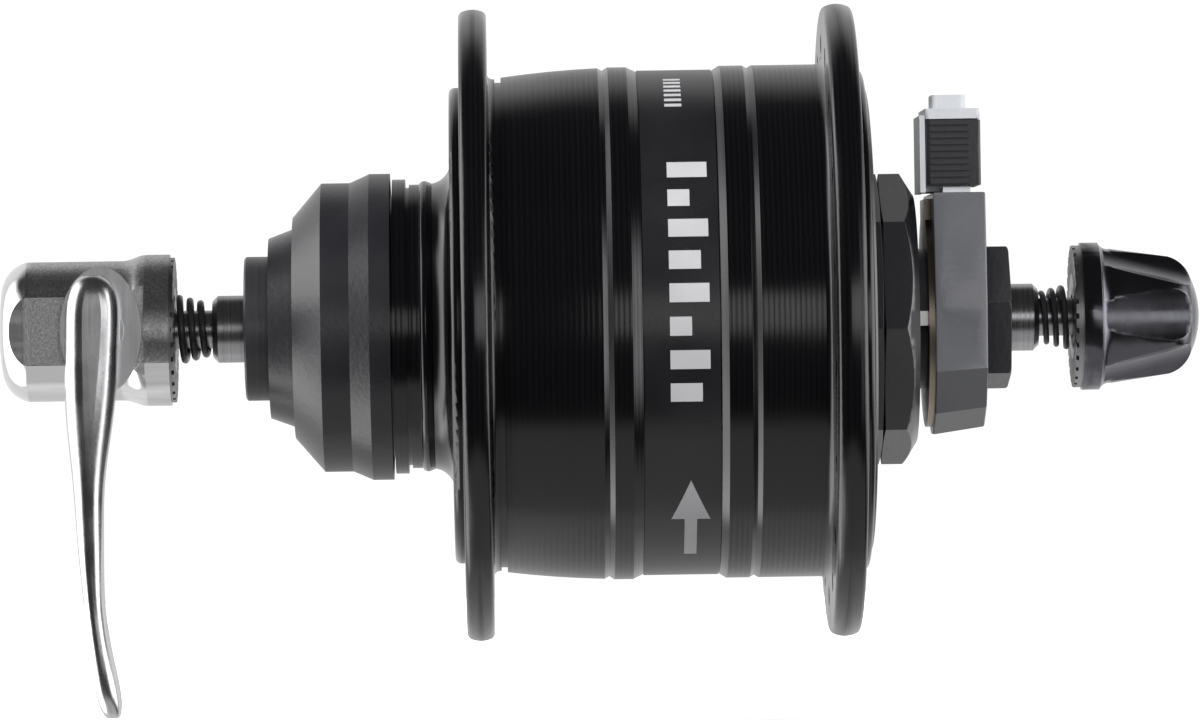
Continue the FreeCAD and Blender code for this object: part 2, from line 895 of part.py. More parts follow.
def blade_outline(side):
    """One contact blade seen from above."""
    middle = S.blade_x * side
    half = S.blade_thickness / 2
    return rectangle(middle - S.blade_half_width, middle + S.blade_half_width,
                     S.blade_y - half, S.blade_y + half)


def make_terminal_blades():
    """The two flat contact blades that stand in the socket."""
    blades = []
    for side in (-1, 1):
        blade = doc.addObject("Part::Box", "blade_%d" % (side + 1))
        bind(blade, "Length", S.blade_half_width * 2)
        bind(blade, "Width", S.blade_thickness)
        bind(blade, "Height", S.blade_top_z - S.blade_foot_z)
        bind(blade, "Placement.Base.x", S.blade_x * side - S.blade_half_width)
        bind(blade, "Placement.Base.y", S.blade_y - S.blade_thickness / 2)
        bind(blade, "Placement.Base.z", S.blade_foot_z)
        blades.append(blade)
    return joined("Part::Compound", "terminal_blades", blades)


# ---------------------------------------------------------------- generator


def finger_outline(angle):
    """One claw finger seen along the spin axis."""
    near = S.claw_outer_radius - S.claw_finger_depth
    return turned_box(near, S.claw_outer_radius, S.claw_finger_width / 2, angle)


def make_claw_poles(name, plate_start, plate_end, finger_start, finger_end, angle):
    """A claw-pole plate with fingers that reach between those of the other plate."""
    body = ring(name, S.claw_outer_radius, S.axle_middle_radius, plate_start, plate_end)
    doc.recompute()
    outline = finger_outline(angle)
    finger = extrude(body, name + "_finger", lambda sketch: draw_outline(sketch, outline),
                     "XZ_Plane", finger_start, finger_end)
    around_axis(body, name + "_fingers", [finger], CLAWS_PER_SIDE)
    return body


def make_left_claws():
    plate_end = S.stator_left_y
    plate_start = plate_end - S.claw_plate
    tip = S.stator_right_y + S.claw_tip_gap
    return make_claw_poles("left_claw_poles", plate_start, plate_end, tip, plate_end, 0)


def make_right_claws():
    plate_start = S.stator_right_y
    plate_end = plate_start + S.claw_plate
    tip = S.stator_left_y - S.claw_tip_gap
    half_pitch = 180 / CLAWS_PER_SIDE
    body = make_claw_poles("right_claw_poles", plate_start, plate_end, plate_start, tip,
                           half_pitch)
    extrude(body, "lead_hole",
            lambda sketch: draw_circle(sketch, S.lead_start_x, ZERO, S.lead_hole_radius),
            "XZ_Plane", plate_start, plate_end, cut=True)
    return body


def make_bobbin():
    """The spool that the coil is wound on."""
    left = S.stator_left_y - S.claw_plate - S.bobbin_play
    right = S.stator_right_y + S.claw_plate + S.bobbin_play
    wall = S.bobbin_wall
    return turned("coil_bobbin", [
        (S.core_radius, left),
        (S.bobbin_radius, left),
        (S.bobbin_radius, left - wall),
        (S.core_radius + wall, left - wall),
        (S.core_radius + wall, right + wall),
        (S.bobbin_radius, right + wall),
        (S.bobbin_radius, right),
        (S.core_radius, right),
    ])


def make_winding():
    left = S.stator_left_y - S.claw_plate - S.bobbin_play - S.bobbin_wall
    right = S.stator_right_y + S.claw_plate + S.bobbin_play + S.bobbin_wall
    return ring("coil_winding", S.winding_radius, S.core_radius + S.bobbin_wall, right, left)


def make_magnets():
    """Curved magnets glued inside the yoke ring."""
    sectors = []
    for i in range(MAGNET_COUNT):
        sector = cylinder("magnet_%d" % (i + 1), S.yoke_inner_radius, S.magnet_right_y,
                          S.magnet_left_y)
        bind(sector, "Angle", S.magnet_angle)
        turn = FreeCAD.Rotation(FreeCAD.Vector(0, 1, 0), 360 * i / MAGNET_COUNT)
        sector.Placement = FreeCAD.Placement(sector.Placement.Base, turn * ALONG_Y)
        sectors.append(sector)
    blank = joined("Part::Compound", "magnet_sectors", sectors)
    middle = cylinder("magnet_bore", S.magnet_inner_radius, S.magnet_right_y, S.magnet_left_y)
    return cut_from("ring_magnets", blank, middle)


def bent_path(points, bend):
    """Straight runs joined by tangent arcs of one radius."""
    edges = []
    start = points[0]
    for before, corner, after in zip(points, points[1:], points[2:]):
        arrive = (corner - before).normalize()
        leave = (after - corner).normalize()
        turn = math.acos(max(-1.0, min(1.0, arrive * leave)))
        reach = bend * math.tan(turn / 2)
        first = corner - arrive * reach
        last = corner + leave * reach
        middle_way = (leave - arrive).normalize()
        centre = corner + middle_way * (bend / math.cos(turn / 2))
        middle = centre - middle_way * bend
        edges.append(Part.LineSegment(start, first).toShape())
        edges.append(Part.Arc(first, middle, last).toShape())
        start = last
    edges.append(Part.LineSegment(start, points[-1]).toShape())
    return Part.Wire(edges)


def make_coil_lead():
    """The insulated lead from the coil, along the axle's groove, to the terminal block."""
    groove_x = float(S.lead_groove_x)
    points = [
        FreeCAD.Vector(float(S.lead_start_x), float(S.lead_start_y), 0),
        FreeCAD.Vector(float(S.lead_start_x), float(S.lead_turn_y), 0),
        FreeCAD.Vector(groove_x, float(S.lead_enter_y), 0),
        FreeCAD.Vector(groove_x, float(S.lead_leave_y), 0),
        FreeCAD.Vector(float(S.lead_end_x), float(S.lead_leave_y), 0),
    ]
    path = bent_path(points, float(S.lead_bend))
    radius = float(S.lead_radius)
    section = Part.Wire(Part.makeCircle(radius, points[0], FreeCAD.Vector(0, 1, 0)))
    lead = doc.addObject("Part::Feature", "coil_lead")
    lead.Label = "coil_lead"
    lead.Shape = path.makePipeShell([section], True, False)
    ideal = math.pi * radius**2 * path.Length
    if abs(lead.Shape.Volume - ideal) > VOLUME_TOLERANCE * ideal:
        raise ValueError("coil_lead has the wrong volume")
    return lead


def make_lead_insulator():
    """The pale insulating tab that stands in the slot of the right cone."""
    body = new_body("lead_insulator")
    half = S.insulator_half
    outline = rectangle(S.insulator_x, S.insulator_inner_x, -half, half)
    extrude(body, "insulator_tab", lambda sketch: draw_outline(sketch, outline), "XZ_Plane",
            S.right_cone_y, S.insulator_start_y)
    return body


# ---------------------------------------------------------------- hub shell


def flange_outline(high, low):
    """The rim of a spoke flange, from its side nearer the lever to its other side."""
    base = S.flange_radius - S.flange_crown
    rise = S.flange_edge_rise
    edge = S.flange_edge
    return [
        (base - rise, high, -S.flange_edge_bend),
        (base, high - edge, -S.flange_crown_bend),
        (base, low + edge, -S.flange_edge_bend),
        (base - rise, low),
    ]


def shell_outside():
    """The outside of the shell from the spline spigot to the right shoulder."""
    groove = S.line_groove
    rounding = S.shoulder_rounding
    return [
        (S.spigot_radius - S.spigot_chamfer, S.spigot_y),
        (S.spigot_radius, S.spigot_y - S.spigot_chamfer),
        (S.spigot_radius, S.collar_outer_y),
        (S.collar_radius, S.collar_outer_y),
        (S.collar_radius, S.collar_inner_y),
        (S.neck_groove_radius, S.collar_inner_y),
        (S.neck_groove_radius, S.neck_groove_y),
        (S.neck_radius, S.neck_groove_y),
        (S.neck_radius, S.neck_end_y, -(S.bead_radius - S.neck_radius) * 2),
        (S.bead_radius, S.bead_end_y),
        (S.neck_root_radius, S.neck_root_y, S.fillet_bend),
        (S.fillet_radius_end, S.fillet_end_y),
        (S.left_shoulder_radius - rounding, S.left_shoulder_y, -rounding),
        (S.left_shoulder_radius, S.left_shoulder_y - rounding),
        (S.left_shoulder_radius, S.left_flange_outer_y),
    ] + flange_outline(S.left_flange_outer_y, S.left_flange_inner_y) + [
        (S.root_radius + S.root_fillet, S.left_flange_inner_y, S.root_fillet),
        (S.root_radius, S.left_flange_inner_y - S.root_fillet),
        (S.root_radius, S.root_y),
        (S.root_groove_radius, S.root_y),
        (S.root_groove_radius, S.barrel_start_y),
        (S.barrel_start_radius, S.barrel_start_y, -S.barrel_bend),
        (S.barrel_radius, S.barrel_end_y),
        (S.barrel_radius - groove, (S.barrel_end_y + S.left_ring_y) / 2),
        (S.ring_radius, S.left_ring_y),
        (S.ring_radius, S.label_ramp_top_y),
        (S.label_seat_radius, S.label_top_y),
        (S.label_seat_radius, S.label_end_y),
        (S.ring_radius, S.label_ramp_end_y),
        (S.ring_radius, S.right_ring_y),
        (S.ring_radius - groove, (S.right_ring_y + S.right_barrel_y) / 2),
        (S.ring_radius, S.right_barrel_y),
        (S.ring_radius, S.right_flange_inner_y + S.flange_fillet, S.flange_fillet),
        (S.ring_radius + S.flange_fillet, S.right_flange_inner_y),
    ] + flange_outline(S.right_flange_inner_y, S.right_flange_outer_y) + [
        (S.right_shoulder_radius, S.right_flange_outer_y),
        (S.right_shoulder_radius, S.right_shoulder_y + rounding, -rounding),
        (S.right_shoulder_radius - rounding, S.right_shoulder_y),
    ]


def shell_inside():
    """The inside of the shell from the end cap's bore back to the spline spigot."""
    cup_floor = S.left_ball_y - S.cup_depth
    return [
        (S.shell_bore_radius, S.right_shoulder_y),
        (S.shell_bore_radius, S.shell_inner_cone_y),
        (S.shell_inner_cone_radius, S.shell_inner_wall_y),
        (S.neck_bore_radius, S.shell_inner_wall_y),
        (S.neck_bore_radius, S.neck_bore_y),
        (S.cup_stop_radius, S.neck_bore_y),
        (S.cup_stop_radius, cup_floor),
        (S.cup_radius, cup_floor),
        (S.cup_radius, S.spigot_y),
    ]


def drill_spokes(body, name, outer, inner, circle, turn):
    """A circle of spoke holes through one flange."""
    angle = math.radians(turn)
    across = circle * math.cos(angle)
    up = circle * math.sin(angle)
    low, high = sorted((outer, inner), key=float)
    hole = extrude(body, name + "_hole",
                   lambda sketch: draw_circle(sketch, across, up, S.spoke_hole_radius),
                   "XZ_Plane", low, high, cut=True)
    around_axis(body, name + "_holes", [hole], SPOKES_PER_FLANGE)


def make_hub_shell():
    """The one-piece shell: spline spigot, neck, both spoke flanges and the barrel."""
    body = turned("hub_shell", shell_outside() + shell_inside())
    doc.recompute()
    half_step = 180 / SPOKES_PER_FLANGE
    drill_spokes(body, "left_spoke", S.left_flange_outer_y, S.left_flange_inner_y,
                 S.left_spoke_circle_radius, 0)
    drill_spokes(body, "right_spoke", S.right_flange_outer_y, S.right_flange_inner_y,
                 S.right_spoke_circle_radius, half_step)
    tooth = turned_box(S.spigot_radius - S.spline_depth, S.spigot_radius + S.spline_depth,
                       S.spline_width / 2, 0)
    gap = extrude(body, "spline_gap", lambda sketch: draw_outline(sketch, tooth), "XZ_Plane",
                  S.spline_run_out_y, S.spigot_y, cut=True)
    around_axis(body, "splines", [gap], SPLINE_COUNT)
    return body


def make_rotation_label():
    """The thin printed band in the shell's shallow recess."""
    return ring("rotation_label", S.label_seat_radius + S.label_thickness, S.label_seat_radius,
                S.label_end_y + S.label_gap, S.label_top_y - S.label_gap)


def make_end_cap():
    """The screwed end cap: a disc that closes the shell and an octagonal boss for the tool."""
    body = turned("hub_end_cap", [
        (ZERO, S.end_cap_inner_y),
        (S.shell_bore_radius, S.end_cap_inner_y),
        (S.shell_bore_radius, S.end_cap_face_y + S.end_cap_chamfer),
        (S.end_cap_rim_radius, S.end_cap_face_y),
        (ZERO, S.end_cap_face_y),
    ])
    doc.recompute()
    octagon = polygon(S.octagon_radius, OCTAGON_SIDES, OCTAGON_TURN)
    extrude(body, "octagon_boss", lambda sketch: draw_outline(sketch, octagon), "XZ_Plane",
            S.end_cap_boss_y, S.end_cap_face_y)
    cut_groove(body, "boss_chamfer", [
        (S.octagon_chamfer_radius, S.end_cap_boss_y),
        (S.octagon_radius + S.octagon_margin, S.end_cap_boss_y),
        (S.octagon_radius + S.octagon_margin, S.octagon_chamfer_y),
    ])
    flat = S.octagon_radius * math.cos(math.pi / OCTAGON_SIDES)
    cut_groove(body, "boss_line", [
        (flat - S.cap_line_depth, S.cap_line_y),
        (S.octagon_radius + S.octagon_margin, S.cap_line_y - S.cap_line_depth),
        (S.octagon_radius + S.octagon_margin, S.cap_line_y + S.cap_line_depth),
    ])
    cup_floor = S.right_ball_y + S.cup_depth
    cut_groove(body, "cup_seat", [
        (ZERO, S.end_cap_inner_y),
        (S.cup_stop_radius, S.end_cap_inner_y),
        (S.cup_stop_radius, cup_floor),
        (S.cup_radius, cup_floor),
        (S.cup_radius, S.end_cap_boss_y),
        (ZERO, S.end_cap_boss_y),
    ])
    half = S.seal_cord_radius + S.seal_play
    cut_groove(body, "seal_groove", [
        (S.seal_ring_radius - S.seal_cord_radius, S.seal_groove_y - half),
        (S.shell_bore_radius + S.clearance, S.seal_groove_y - half),
        (S.shell_bore_radius + S.clearance, S.seal_groove_y + half),
        (S.seal_ring_radius - S.seal_cord_radius, S.seal_groove_y + half),
    ])
    return body


def make_end_cap_seal():
    """The rubber ring between the end cap and the shell."""
    item = doc.addObject("Part::Torus", "end_cap_seal")
    item.Label = "end_cap_seal"
    item.Placement = FreeCAD.Placement(FreeCAD.Vector(0, float(S.seal_groove_y), 0), ALONG_Y)
    bind(item, "Radius1", S.seal_ring_radius)
    bind(item, "Radius2", S.seal_cord_radius)
    bind(item, "Placement.Base.y", S.seal_groove_y)
    return item


def make_rotor_mount_cap():
    """The stepped plastic cap that covers the spline spigot."""
    wall = S.cap_wall
    shoulder = S.cap_shoulder_wall
    return turned("rotor_mount_cap", [
        (S.rim_radius, S.rim_end_y),
        (S.rim_radius, S.rim_ramp_y),
        (S.cap_radius, S.cap_ramp_end_y),
        (S.cap_radius, S.cap_cone_y),
        (S.cap_step_radius, S.cap_step_y),
        (S.cap_nose_radius, S.cap_step_y),
        (S.cap_face_radius, S.cap_face_y),
        (S.cap_hole_radius, S.cap_face_y),
        (S.cap_hole_radius, S.cap_face_y - wall),
        (S.cap_nose_radius - wall * 2, S.cap_face_y - wall),
        (S.cap_nose_radius - wall, S.cap_step_y - shoulder),
        (S.cap_step_radius - shoulder, S.cap_step_y - shoulder),
        (S.cap_radius - wall, S.cap_cone_y - wall / 2),
        (S.cap_radius - wall, S.cap_ramp_end_y - wall / 2),
        (S.rim_radius - wall, S.rim_ramp_y - wall / 2),
        (S.rim_radius - wall, S.rim_end_y),
    ])


# ---------------------------------------------------------------- plug


def box_pad(body, name, half, low_y, high_y, low_z, high_z, cut=False):
    """A block across the spin axis, centred on X = 0."""
    outline = rectangle(-half, half, low_y, high_y)
    return extrude(body, name, lambda sketch: draw_outline(sketch, outline), "XY_Plane",
                   low_z, high_z, cut)


def upright_edges(shape, low_z, high_z):
    """Names of the straight upright edges between two heights."""
    names = []
    for number, edge in enumerate(shape.Edges, 1):
        ends = sorted(v.Point.z for v in edge.Vertexes)
        if len(ends) != 2 or not isinstance(edge.Curve, Part.Line):
            continue
        misses = (abs(ends[0] - float(low_z)), abs(ends[1] - float(high_z)))
        if max(misses) < HEIGHT_TOLERANCE:
            names.append("Edge%d" % number)
    return names


def make_plug_body():
    """The grey plug: its stem in the socket, a clip strip, a top plate and the wire entry."""
    body = new_body("plug_body")
    far = S.socket_far_y + S.stem_gap
    near = S.socket_near_y - S.stem_gap
    box_pad(body, "stem", S.stem_half, far, near, S.stem_floor_z, S.cover_z - S.plug_gap)
    box_pad(body, "core", S.plug_core_half, S.plug_core_far_y, S.plug_inner_y,
            S.tower_z + S.plug_gap, S.plug_plate_z)
    box_pad(body, "strip", S.plug_strip_half, S.plug_inner_y, S.plug_strip_y,
            S.plug_strip_z, S.plug_plate_z + S.plug_strip_lap)
    box_pad(body, "top_plate", S.plug_half, S.plug_far_y + S.clearance, S.plug_inner_y,
            S.plug_plate_z, S.plug_plate_top_z)
    corners = upright_edges(body.Shape, S.plug_plate_z, S.plug_plate_top_z)
    round_edges(body, "plate_corners", S.plug_rounding, corners)
    box_pad(body, "nub", S.plug_nub_half, S.plug_nub_far_y, S.plug_nub_near_y,
            S.plug_plate_top_z, S.plug_nub_z)
    corners = upright_edges(body.Shape, S.plug_plate_top_z, S.plug_nub_z)
    round_edges(body, "nub_corners", S.nub_rounding, corners)
    middle = (S.plug_nub_far_y + S.plug_nub_near_y) / 2
    for side in (-1, 1):
        hole_x = S.wire_hole_x * side
        extrude(body, "wire_hole_%d" % (side + 1),
                lambda sketch, hole_x=hole_x: draw_circle(
                    sketch, hole_x, middle, S.wire_hole_radius),
                "XY_Plane", S.plug_nub_z - S.wire_hole_depth, S.plug_nub_z, cut=True)
        slot_x = S.blade_x * side
        slot_half = S.blade_half_width + S.plug_gap
        slot = rectangle(slot_x - slot_half, slot_x + slot_half,
                         S.blade_y - S.contact_strip_offset, S.blade_y + S.blade_thickness)
        extrude(body, "blade_slot_%d" % (side + 1),
                lambda sketch, slot=slot: draw_outline(sketch, slot),
                "XY_Plane", S.stem_floor_z, S.blade_top_z + S.contact_strip_lift, cut=True)
    return body


def make_plug_contacts():
    """The two spring strips inside the plug, one beside each blade."""
    strips = []
    for side in (-1, 1):
        strip = doc.addObject("Part::Box", "contact_strip_%d" % (side + 1))
        bind(strip, "Length", S.blade_half_width * 2)
        bind(strip, "Width", S.contact_strip_width)
        bind(strip, "Height", S.blade_top_z - S.stem_floor_z)
        bind(strip, "Placement.Base.x", S.blade_x * side - S.blade_half_width)
        bind(strip, "Placement.Base.y", S.blade_y - S.contact_strip_offset)
        bind(strip, "Placement.Base.z", S.stem_floor_z + S.contact_strip_lift)
        strips.append(strip)
    return joined("Part::Compound", "plug_contacts", strips)


def make_plug_cover():
    """The black cover with finger ribs that slides over the plug's core."""
    body = new_body("plug_cover")
    near = S.plug_inner_y - S.clearance
    box_pad(body, "cover_block", S.plug_half, S.plug_far_y, near, S.cover_z, S.cover_top_z)
    corners = upright_edges(body.Shape, S.cover_z, S.cover_top_z)
    round_edges(body, "cover_corners", S.plug_rounding, corners)
    box_pad(body, "cover_cavity", S.cover_cavity_half, S.cover_cavity_y, near, S.cover_z,
            S.cover_top_z, cut=True)
    pitch = (S.cover_top_z - S.cover_z) / COVER_RIBS
    first = S.cover_z + (pitch - S.rib_width) / 2
    ribs = []
    for side in (-1, 1):
        inside = S.plug_half * side
        outside = (S.plug_half + S.rib_height) * side
        low, high = sorted((inside, outside), key=float)
        outline = rectangle(S.rib_margin_y, near - S.plug_rounding, first, first + S.rib_width)
        ribs.append(extrude(body, "rib_%d" % (side + 1),
                            lambda sketch, outline=outline: draw_outline(sketch, outline),
                            "YZ_Plane", low, high))
    pattern = body.newObject("PartDesign::LinearPattern", "ribs")
    pattern.Originals = ribs
    pattern.Direction = (origin_item(body, "Z_Axis"), [""])
    bind(pattern, "Length", pitch * (COVER_RIBS - 1))
    pattern.Occurrences = COVER_RIBS
    body.Tip = pattern
    return body


# ---------------------------------------------------------------- quick-release skewer


def make_skewer_rod():
    """The long rod with a slotted eye round the cam."""
    body = turned("skewer_rod", [
        (ZERO, S.rod_end_y),
        (S.rod_radius - S.rod_chamfer, S.rod_end_y),
        (S.rod_radius, S.rod_end_y + S.rod_chamfer),
        (S.rod_radius, S.eye_root_y),
        (ZERO, S.eye_root_y),
    ])
    doc.recompute()
    centre = S.pivot_y + S.cam_offset
    extrude(body, "rod_eye", lambda sketch: draw_circle(sketch, centre, ZERO, S.eye_radius),
            "YZ_Plane", -S.eye_half, S.eye_half)
    half = S.cam_radius + S.cam_play
    reach = S.cam_slot_reach
    bend = S.cam_slot_bend
    slot = [
        (centre - half, -reach, bend),
        (centre + half, -reach),
        (centre + half, reach, bend),
        (centre - half, reach),
    ]
    extrude(body, "cam_slot", lambda sketch: draw_outline(sketch, slot), "YZ_Plane",
            -S.eye_half, S.eye_half, cut=True)
    return body


def coil_spring(name, start, end, start_radius, end_radius, wire, turns):
    """A conical spring about the spin axis; the radii are to the middle of its wire."""
    low = float(start)
    length = float(end) - low
    first = float(start_radius)
    slope = math.degrees(math.atan2(float(end_radius) - first, length))
    spine = Part.makeLongHelix(length / float(turns), length, first, slope)
    section = Part.Wire(Part.makeCircle(float(wire), FreeCAD.Vector(first, 0, 0),
                                        FreeCAD.Vector(0, 1, 0)))
    shape = Part.Wire(spine.Edges).makePipeShell([section], True, True)
    item = doc.addObject("Part::Feature", name)
    item.Label = name
    item.Shape = shape
    item.Placement = FreeCAD.Placement(FreeCAD.Vector(0, low, 0), ALONG_Y)
    return item


def make_left_spring():
    inset = S.left_spring_wire + S.spring_seat_gap
    return coil_spring("left_spring", S.axle_left_y + inset, S.clamp_ring_y - inset,
                       S.left_spring_small, S.left_spring_big, S.left_spring_wire,
                       S.left_spring_turns)


def make_right_spring():
    inset = S.right_spring_wire + S.spring_seat_gap
    return coil_spring("right_spring", S.nut_face_y + inset, S.axle_right_y - inset,
                       S.right_spring_big, S.right_spring_small, S.right_spring_wire,
                       S.right_spring_turns)


def make_lever_housing():
    """The round housing of the cam, flat on the lever's side."""
    body = turned("lever_housing", [
        (ZERO, S.housing_face_y),
        (S.housing_flare_radius, S.housing_face_y),
        (S.housing_flare_radius, S.housing_flare_y, S.housing_flare_bend),
        (S.housing_flare_mid_radius, S.housing_flare_mid_y, -S.housing_flare_bend),
        (S.housing_radius, S.housing_waist_y),
        (S.housing_radius, S.housing_dome_y, S.housing_dome_bend),
        (S.housing_end_radius, S.housing_end_y, S.housing_end_bend),
        (ZERO, S.housing_tip_y),
    ])
    doc.recompute()
    flat = rectangle(-S.housing_flare_radius - S.clearance, S.housing_flat_x,
                     -S.housing_flare_radius, S.housing_flare_radius)
    extrude(body, "lever_flat", lambda sketch: draw_outline(sketch, flat), "XZ_Plane",
            S.housing_flat_y, S.housing_tip_y, cut=True)
    cut_groove(body, "clamp_seat", rectangle(ZERO, S.clamp_seat_radius, S.housing_face_y,
                                             S.clamp_ring_back_y))
    pocket = rectangle(-S.housing_pocket_half_x, S.housing_pocket_half_x,
                       -S.housing_pocket_half_z, S.housing_pocket_half_z)
    extrude(body, "eye_pocket", lambda sketch: draw_outline(sketch, pocket), "XZ_Plane",
            S.housing_face_y, S.housing_pocket_y, cut=True)
    bores = (
        ("journal_bore", S.journal_radius + S.journal_play, -S.housing_flare_radius,
         -S.housing_pocket_half_x + S.clearance),
        ("far_bore", S.far_journal_radius + S.journal_play, S.housing_pocket_half_x - S.clearance,
         S.cam_nut_inner_x),
        ("cam_nut_seat", S.cam_nut_radius + S.cam_nut_play, S.cam_nut_inner_x,
         S.housing_flare_radius),
    )
    for name, radius, start, end in bores:
        extrude(body, name,
                lambda sketch, radius=radius: draw_circle(sketch, S.pivot_y, ZERO, radius),
                "YZ_Plane", start, end, cut=True)
    return body


def cut_face_teeth(body, name, face, depth_end, inner, outer):
    """Radial teeth on the clamping face."""
    low, high = sorted((face, depth_end), key=float)
    outline = turned_box(inner, outer, S.tooth_depth, 0)
    tooth = extrude(body, name + "_gap", lambda sketch: draw_outline(sketch, outline),
                    "XZ_Plane", low, high, cut=True)
    around_axis(body, name, [tooth], FACE_TEETH)


def make_housing_clamp_ring():
    """The toothed steel ring on the housing's clamping face."""
    body = turned("housing_clamp_ring", [
        (S.clamp_ring_hole, S.clamp_ring_y),
        (S.clamp_ring_radius, S.clamp_ring_y),
        (S.clamp_ring_radius, S.housing_face_y),
        (S.clamp_seat_radius, S.housing_face_y),
        (S.clamp_seat_radius, S.clamp_ring_back_y),
        (S.clamp_ring_hole, S.clamp_ring_back_y),
    ])
    doc.recompute()
    cut_face_teeth(body, "housing_teeth", S.clamp_ring_y, S.clamp_ring_y + S.tooth_depth,
                   S.tooth_inner_radius, S.clamp_ring_radius + S.clearance)
    return body


def rounded_section(height, middle_y, half_y, middle_x, half_x):
    """A section of the lever at one height, rounded like a pill."""
    radius = min(half_x, half_y) * FULLNESS
    near = middle_x - half_x
    far = middle_x + half_x
    low = middle_y - half_y
    high = middle_y + half_y
    turn = radius * (1 - math.sqrt(0.5))
    corners = (
        ((near, low + radius), (near + turn, low + turn), (near + radius, low)),
        ((far - radius, low), (far - turn, low + turn), (far, low + radius)),
        ((far, high - radius), (far - turn, high - turn), (far - radius, high)),
        ((near + radius, high), (near + turn, high - turn), (near, high - radius)),
    )
    edges = []
    for i, (start, middle, end) in enumerate(corners):
        points = [FreeCAD.Vector(x, y, height) for x, y in (start, middle, end)]
        following = corners[(i + 1) % len(corners)][0]
        after = FreeCAD.Vector(following[0], following[1], height)
        edges.append(Part.Arc(*points).toShape())
        edges.append(Part.LineSegment(points[2], after).toShape())
    return Part.Wire(edges)


def make_lever():
    """The lever arm with its oval root and the round boss that faces the housing."""
    arm = doc.addObject("Part::Feature", "lever_arm")
    sections = [rounded_section(*section) for section in LEVER_SECTIONS]
    arm.Shape = Part.makeLoft(sections, True, False)
    boss = cross_cylinder("lever_boss", S.lever_boss_radius, S.lever_plate_outer_x,
                          S.lever_boss_inner_x, S.pivot_y)
    root = doc.addObject("Part::Feature", "lever_root")
    outline = Part.Ellipse(FreeCAD.Vector(0, 0, 0), float(S.lever_boss_half_z),
                           float(S.lever_boss_half_y))
    face = Part.Face(Part.Wire(outline.toShape()))
    depth = float(S.lever_plate_inner_x - S.lever_plate_outer_x)
    root.Shape = face.extrude(FreeCAD.Vector(0, 0, depth))
    place = FreeCAD.Vector(float(S.lever_plate_inner_x), float(S.pivot_y), 0)
    root.Placement = FreeCAD.Placement(place, FreeCAD.Rotation(FreeCAD.Vector(0, 1, 0), -90))
    solid = joined("Part::MultiFuse", "lever_solid", [arm, boss, root])
    socket = cross_cylinder("lever_socket", S.lever_socket_radius, S.lever_socket_x,
                            S.lever_boss_inner_x, S.pivot_y)
    return cut_from("quick_release_lever", solid, socket)


def make_cam_shaft():
    """The lever's shaft: a stub in the lever, two journals and the cam between them."""
    gap = S.housing_pocket_half_x
    near = cross_cylinder("cam_near_journal", S.journal_radius, S.lever_boss_inner_x, -gap,
                          S.pivot_y)
    stub = cross_cylinder("cam_stub", S.lever_socket_radius, S.lever_socket_x,
                          S.lever_boss_inner_x, S.pivot_y)
    cam = cross_cylinder("cam_lobe", S.cam_radius, -gap, gap, S.pivot_y + S.cam_offset)
    far = cross_cylinder("cam_far_journal", S.far_journal_radius, gap, S.cam_nut_outer_x,
                         S.pivot_y)
    return joined("Part::MultiFuse", "cam_shaft", [near, stub, cam, far])


def make_cam_nut():
    """The round nut that keeps the cam shaft in the housing."""
    blank = cross_cylinder("cam_nut_blank", S.cam_nut_radius, S.cam_nut_inner_x + S.clearance,
                           S.cam_nut_outer_x, S.pivot_y)
    bore = cross_cylinder("cam_nut_bore", S.far_journal_radius, S.cam_nut_inner_x + S.clearance,
                          S.cam_nut_outer_x, S.pivot_y)
    return cut_from("cam_retaining_nut", blank, bore)


def make_adjusting_nut():
    """The fluted nut on the far end of the skewer."""
    body = turned("adjusting_nut", [
        (S.nut_bore_radius, S.nut_ring_y),
        (S.nut_flange_radius, S.nut_ring_y),
        (S.nut_flange_radius, S.nut_flange_y, S.nut_flange_bend),
        (S.nut_shoulder_radius, S.nut_shoulder_y),
        (S.nut_waist_radius, S.nut_waist_y, -S.nut_dome_bend),
        (S.nut_dome_radius, S.nut_dome_y, -S.nut_end_bend),
        (ZERO, S.nut_end_y),
        (ZERO, S.nut_bore_y),
        (S.nut_bore_radius, S.nut_bore_y),
    ])
    cut_groove(body, "insert_seat", rectangle(S.nut_bore_radius - S.clearance, S.insert_radius,
                                              S.insert_far_y, S.insert_near_y))
    near = new_sketch(body, "flute_near_circle", "XZ_Plane", -S.flute_start_y)
    draw_circle(near, S.flute_near_centre, ZERO, S.flute_radius)
    far = new_sketch(body, "flute_far_circle", "XZ_Plane", S.clearance - S.nut_end_y)
    draw_circle(far, S.flute_far_centre, ZERO, S.flute_radius)
    flute = body.newObject("PartDesign::SubtractiveLoft", "flute")
    flute.Profile = near
    flute.Sections = [far]
    flute.Ruled = True
    doc.recompute()
    around_axis(body, "flutes", [flute], NUT_FLUTES)
    return body


def make_nut_clamp_ring():
    """The toothed steel ring on the nut's clamping face."""
    body = ring("nut_clamp_ring", S.nut_ring_radius, S.nut_ring_hole, S.nut_ring_y,
                S.nut_face_y)
    doc.recompute()
    cut_face_teeth(body, "nut_teeth", S.nut_face_y, S.nut_face_y - S.tooth_depth,
                   S.tooth_inner_radius, S.nut_ring_radius + S.clearance)
    return body


# ---------------------------------------------------------------- the whole hub


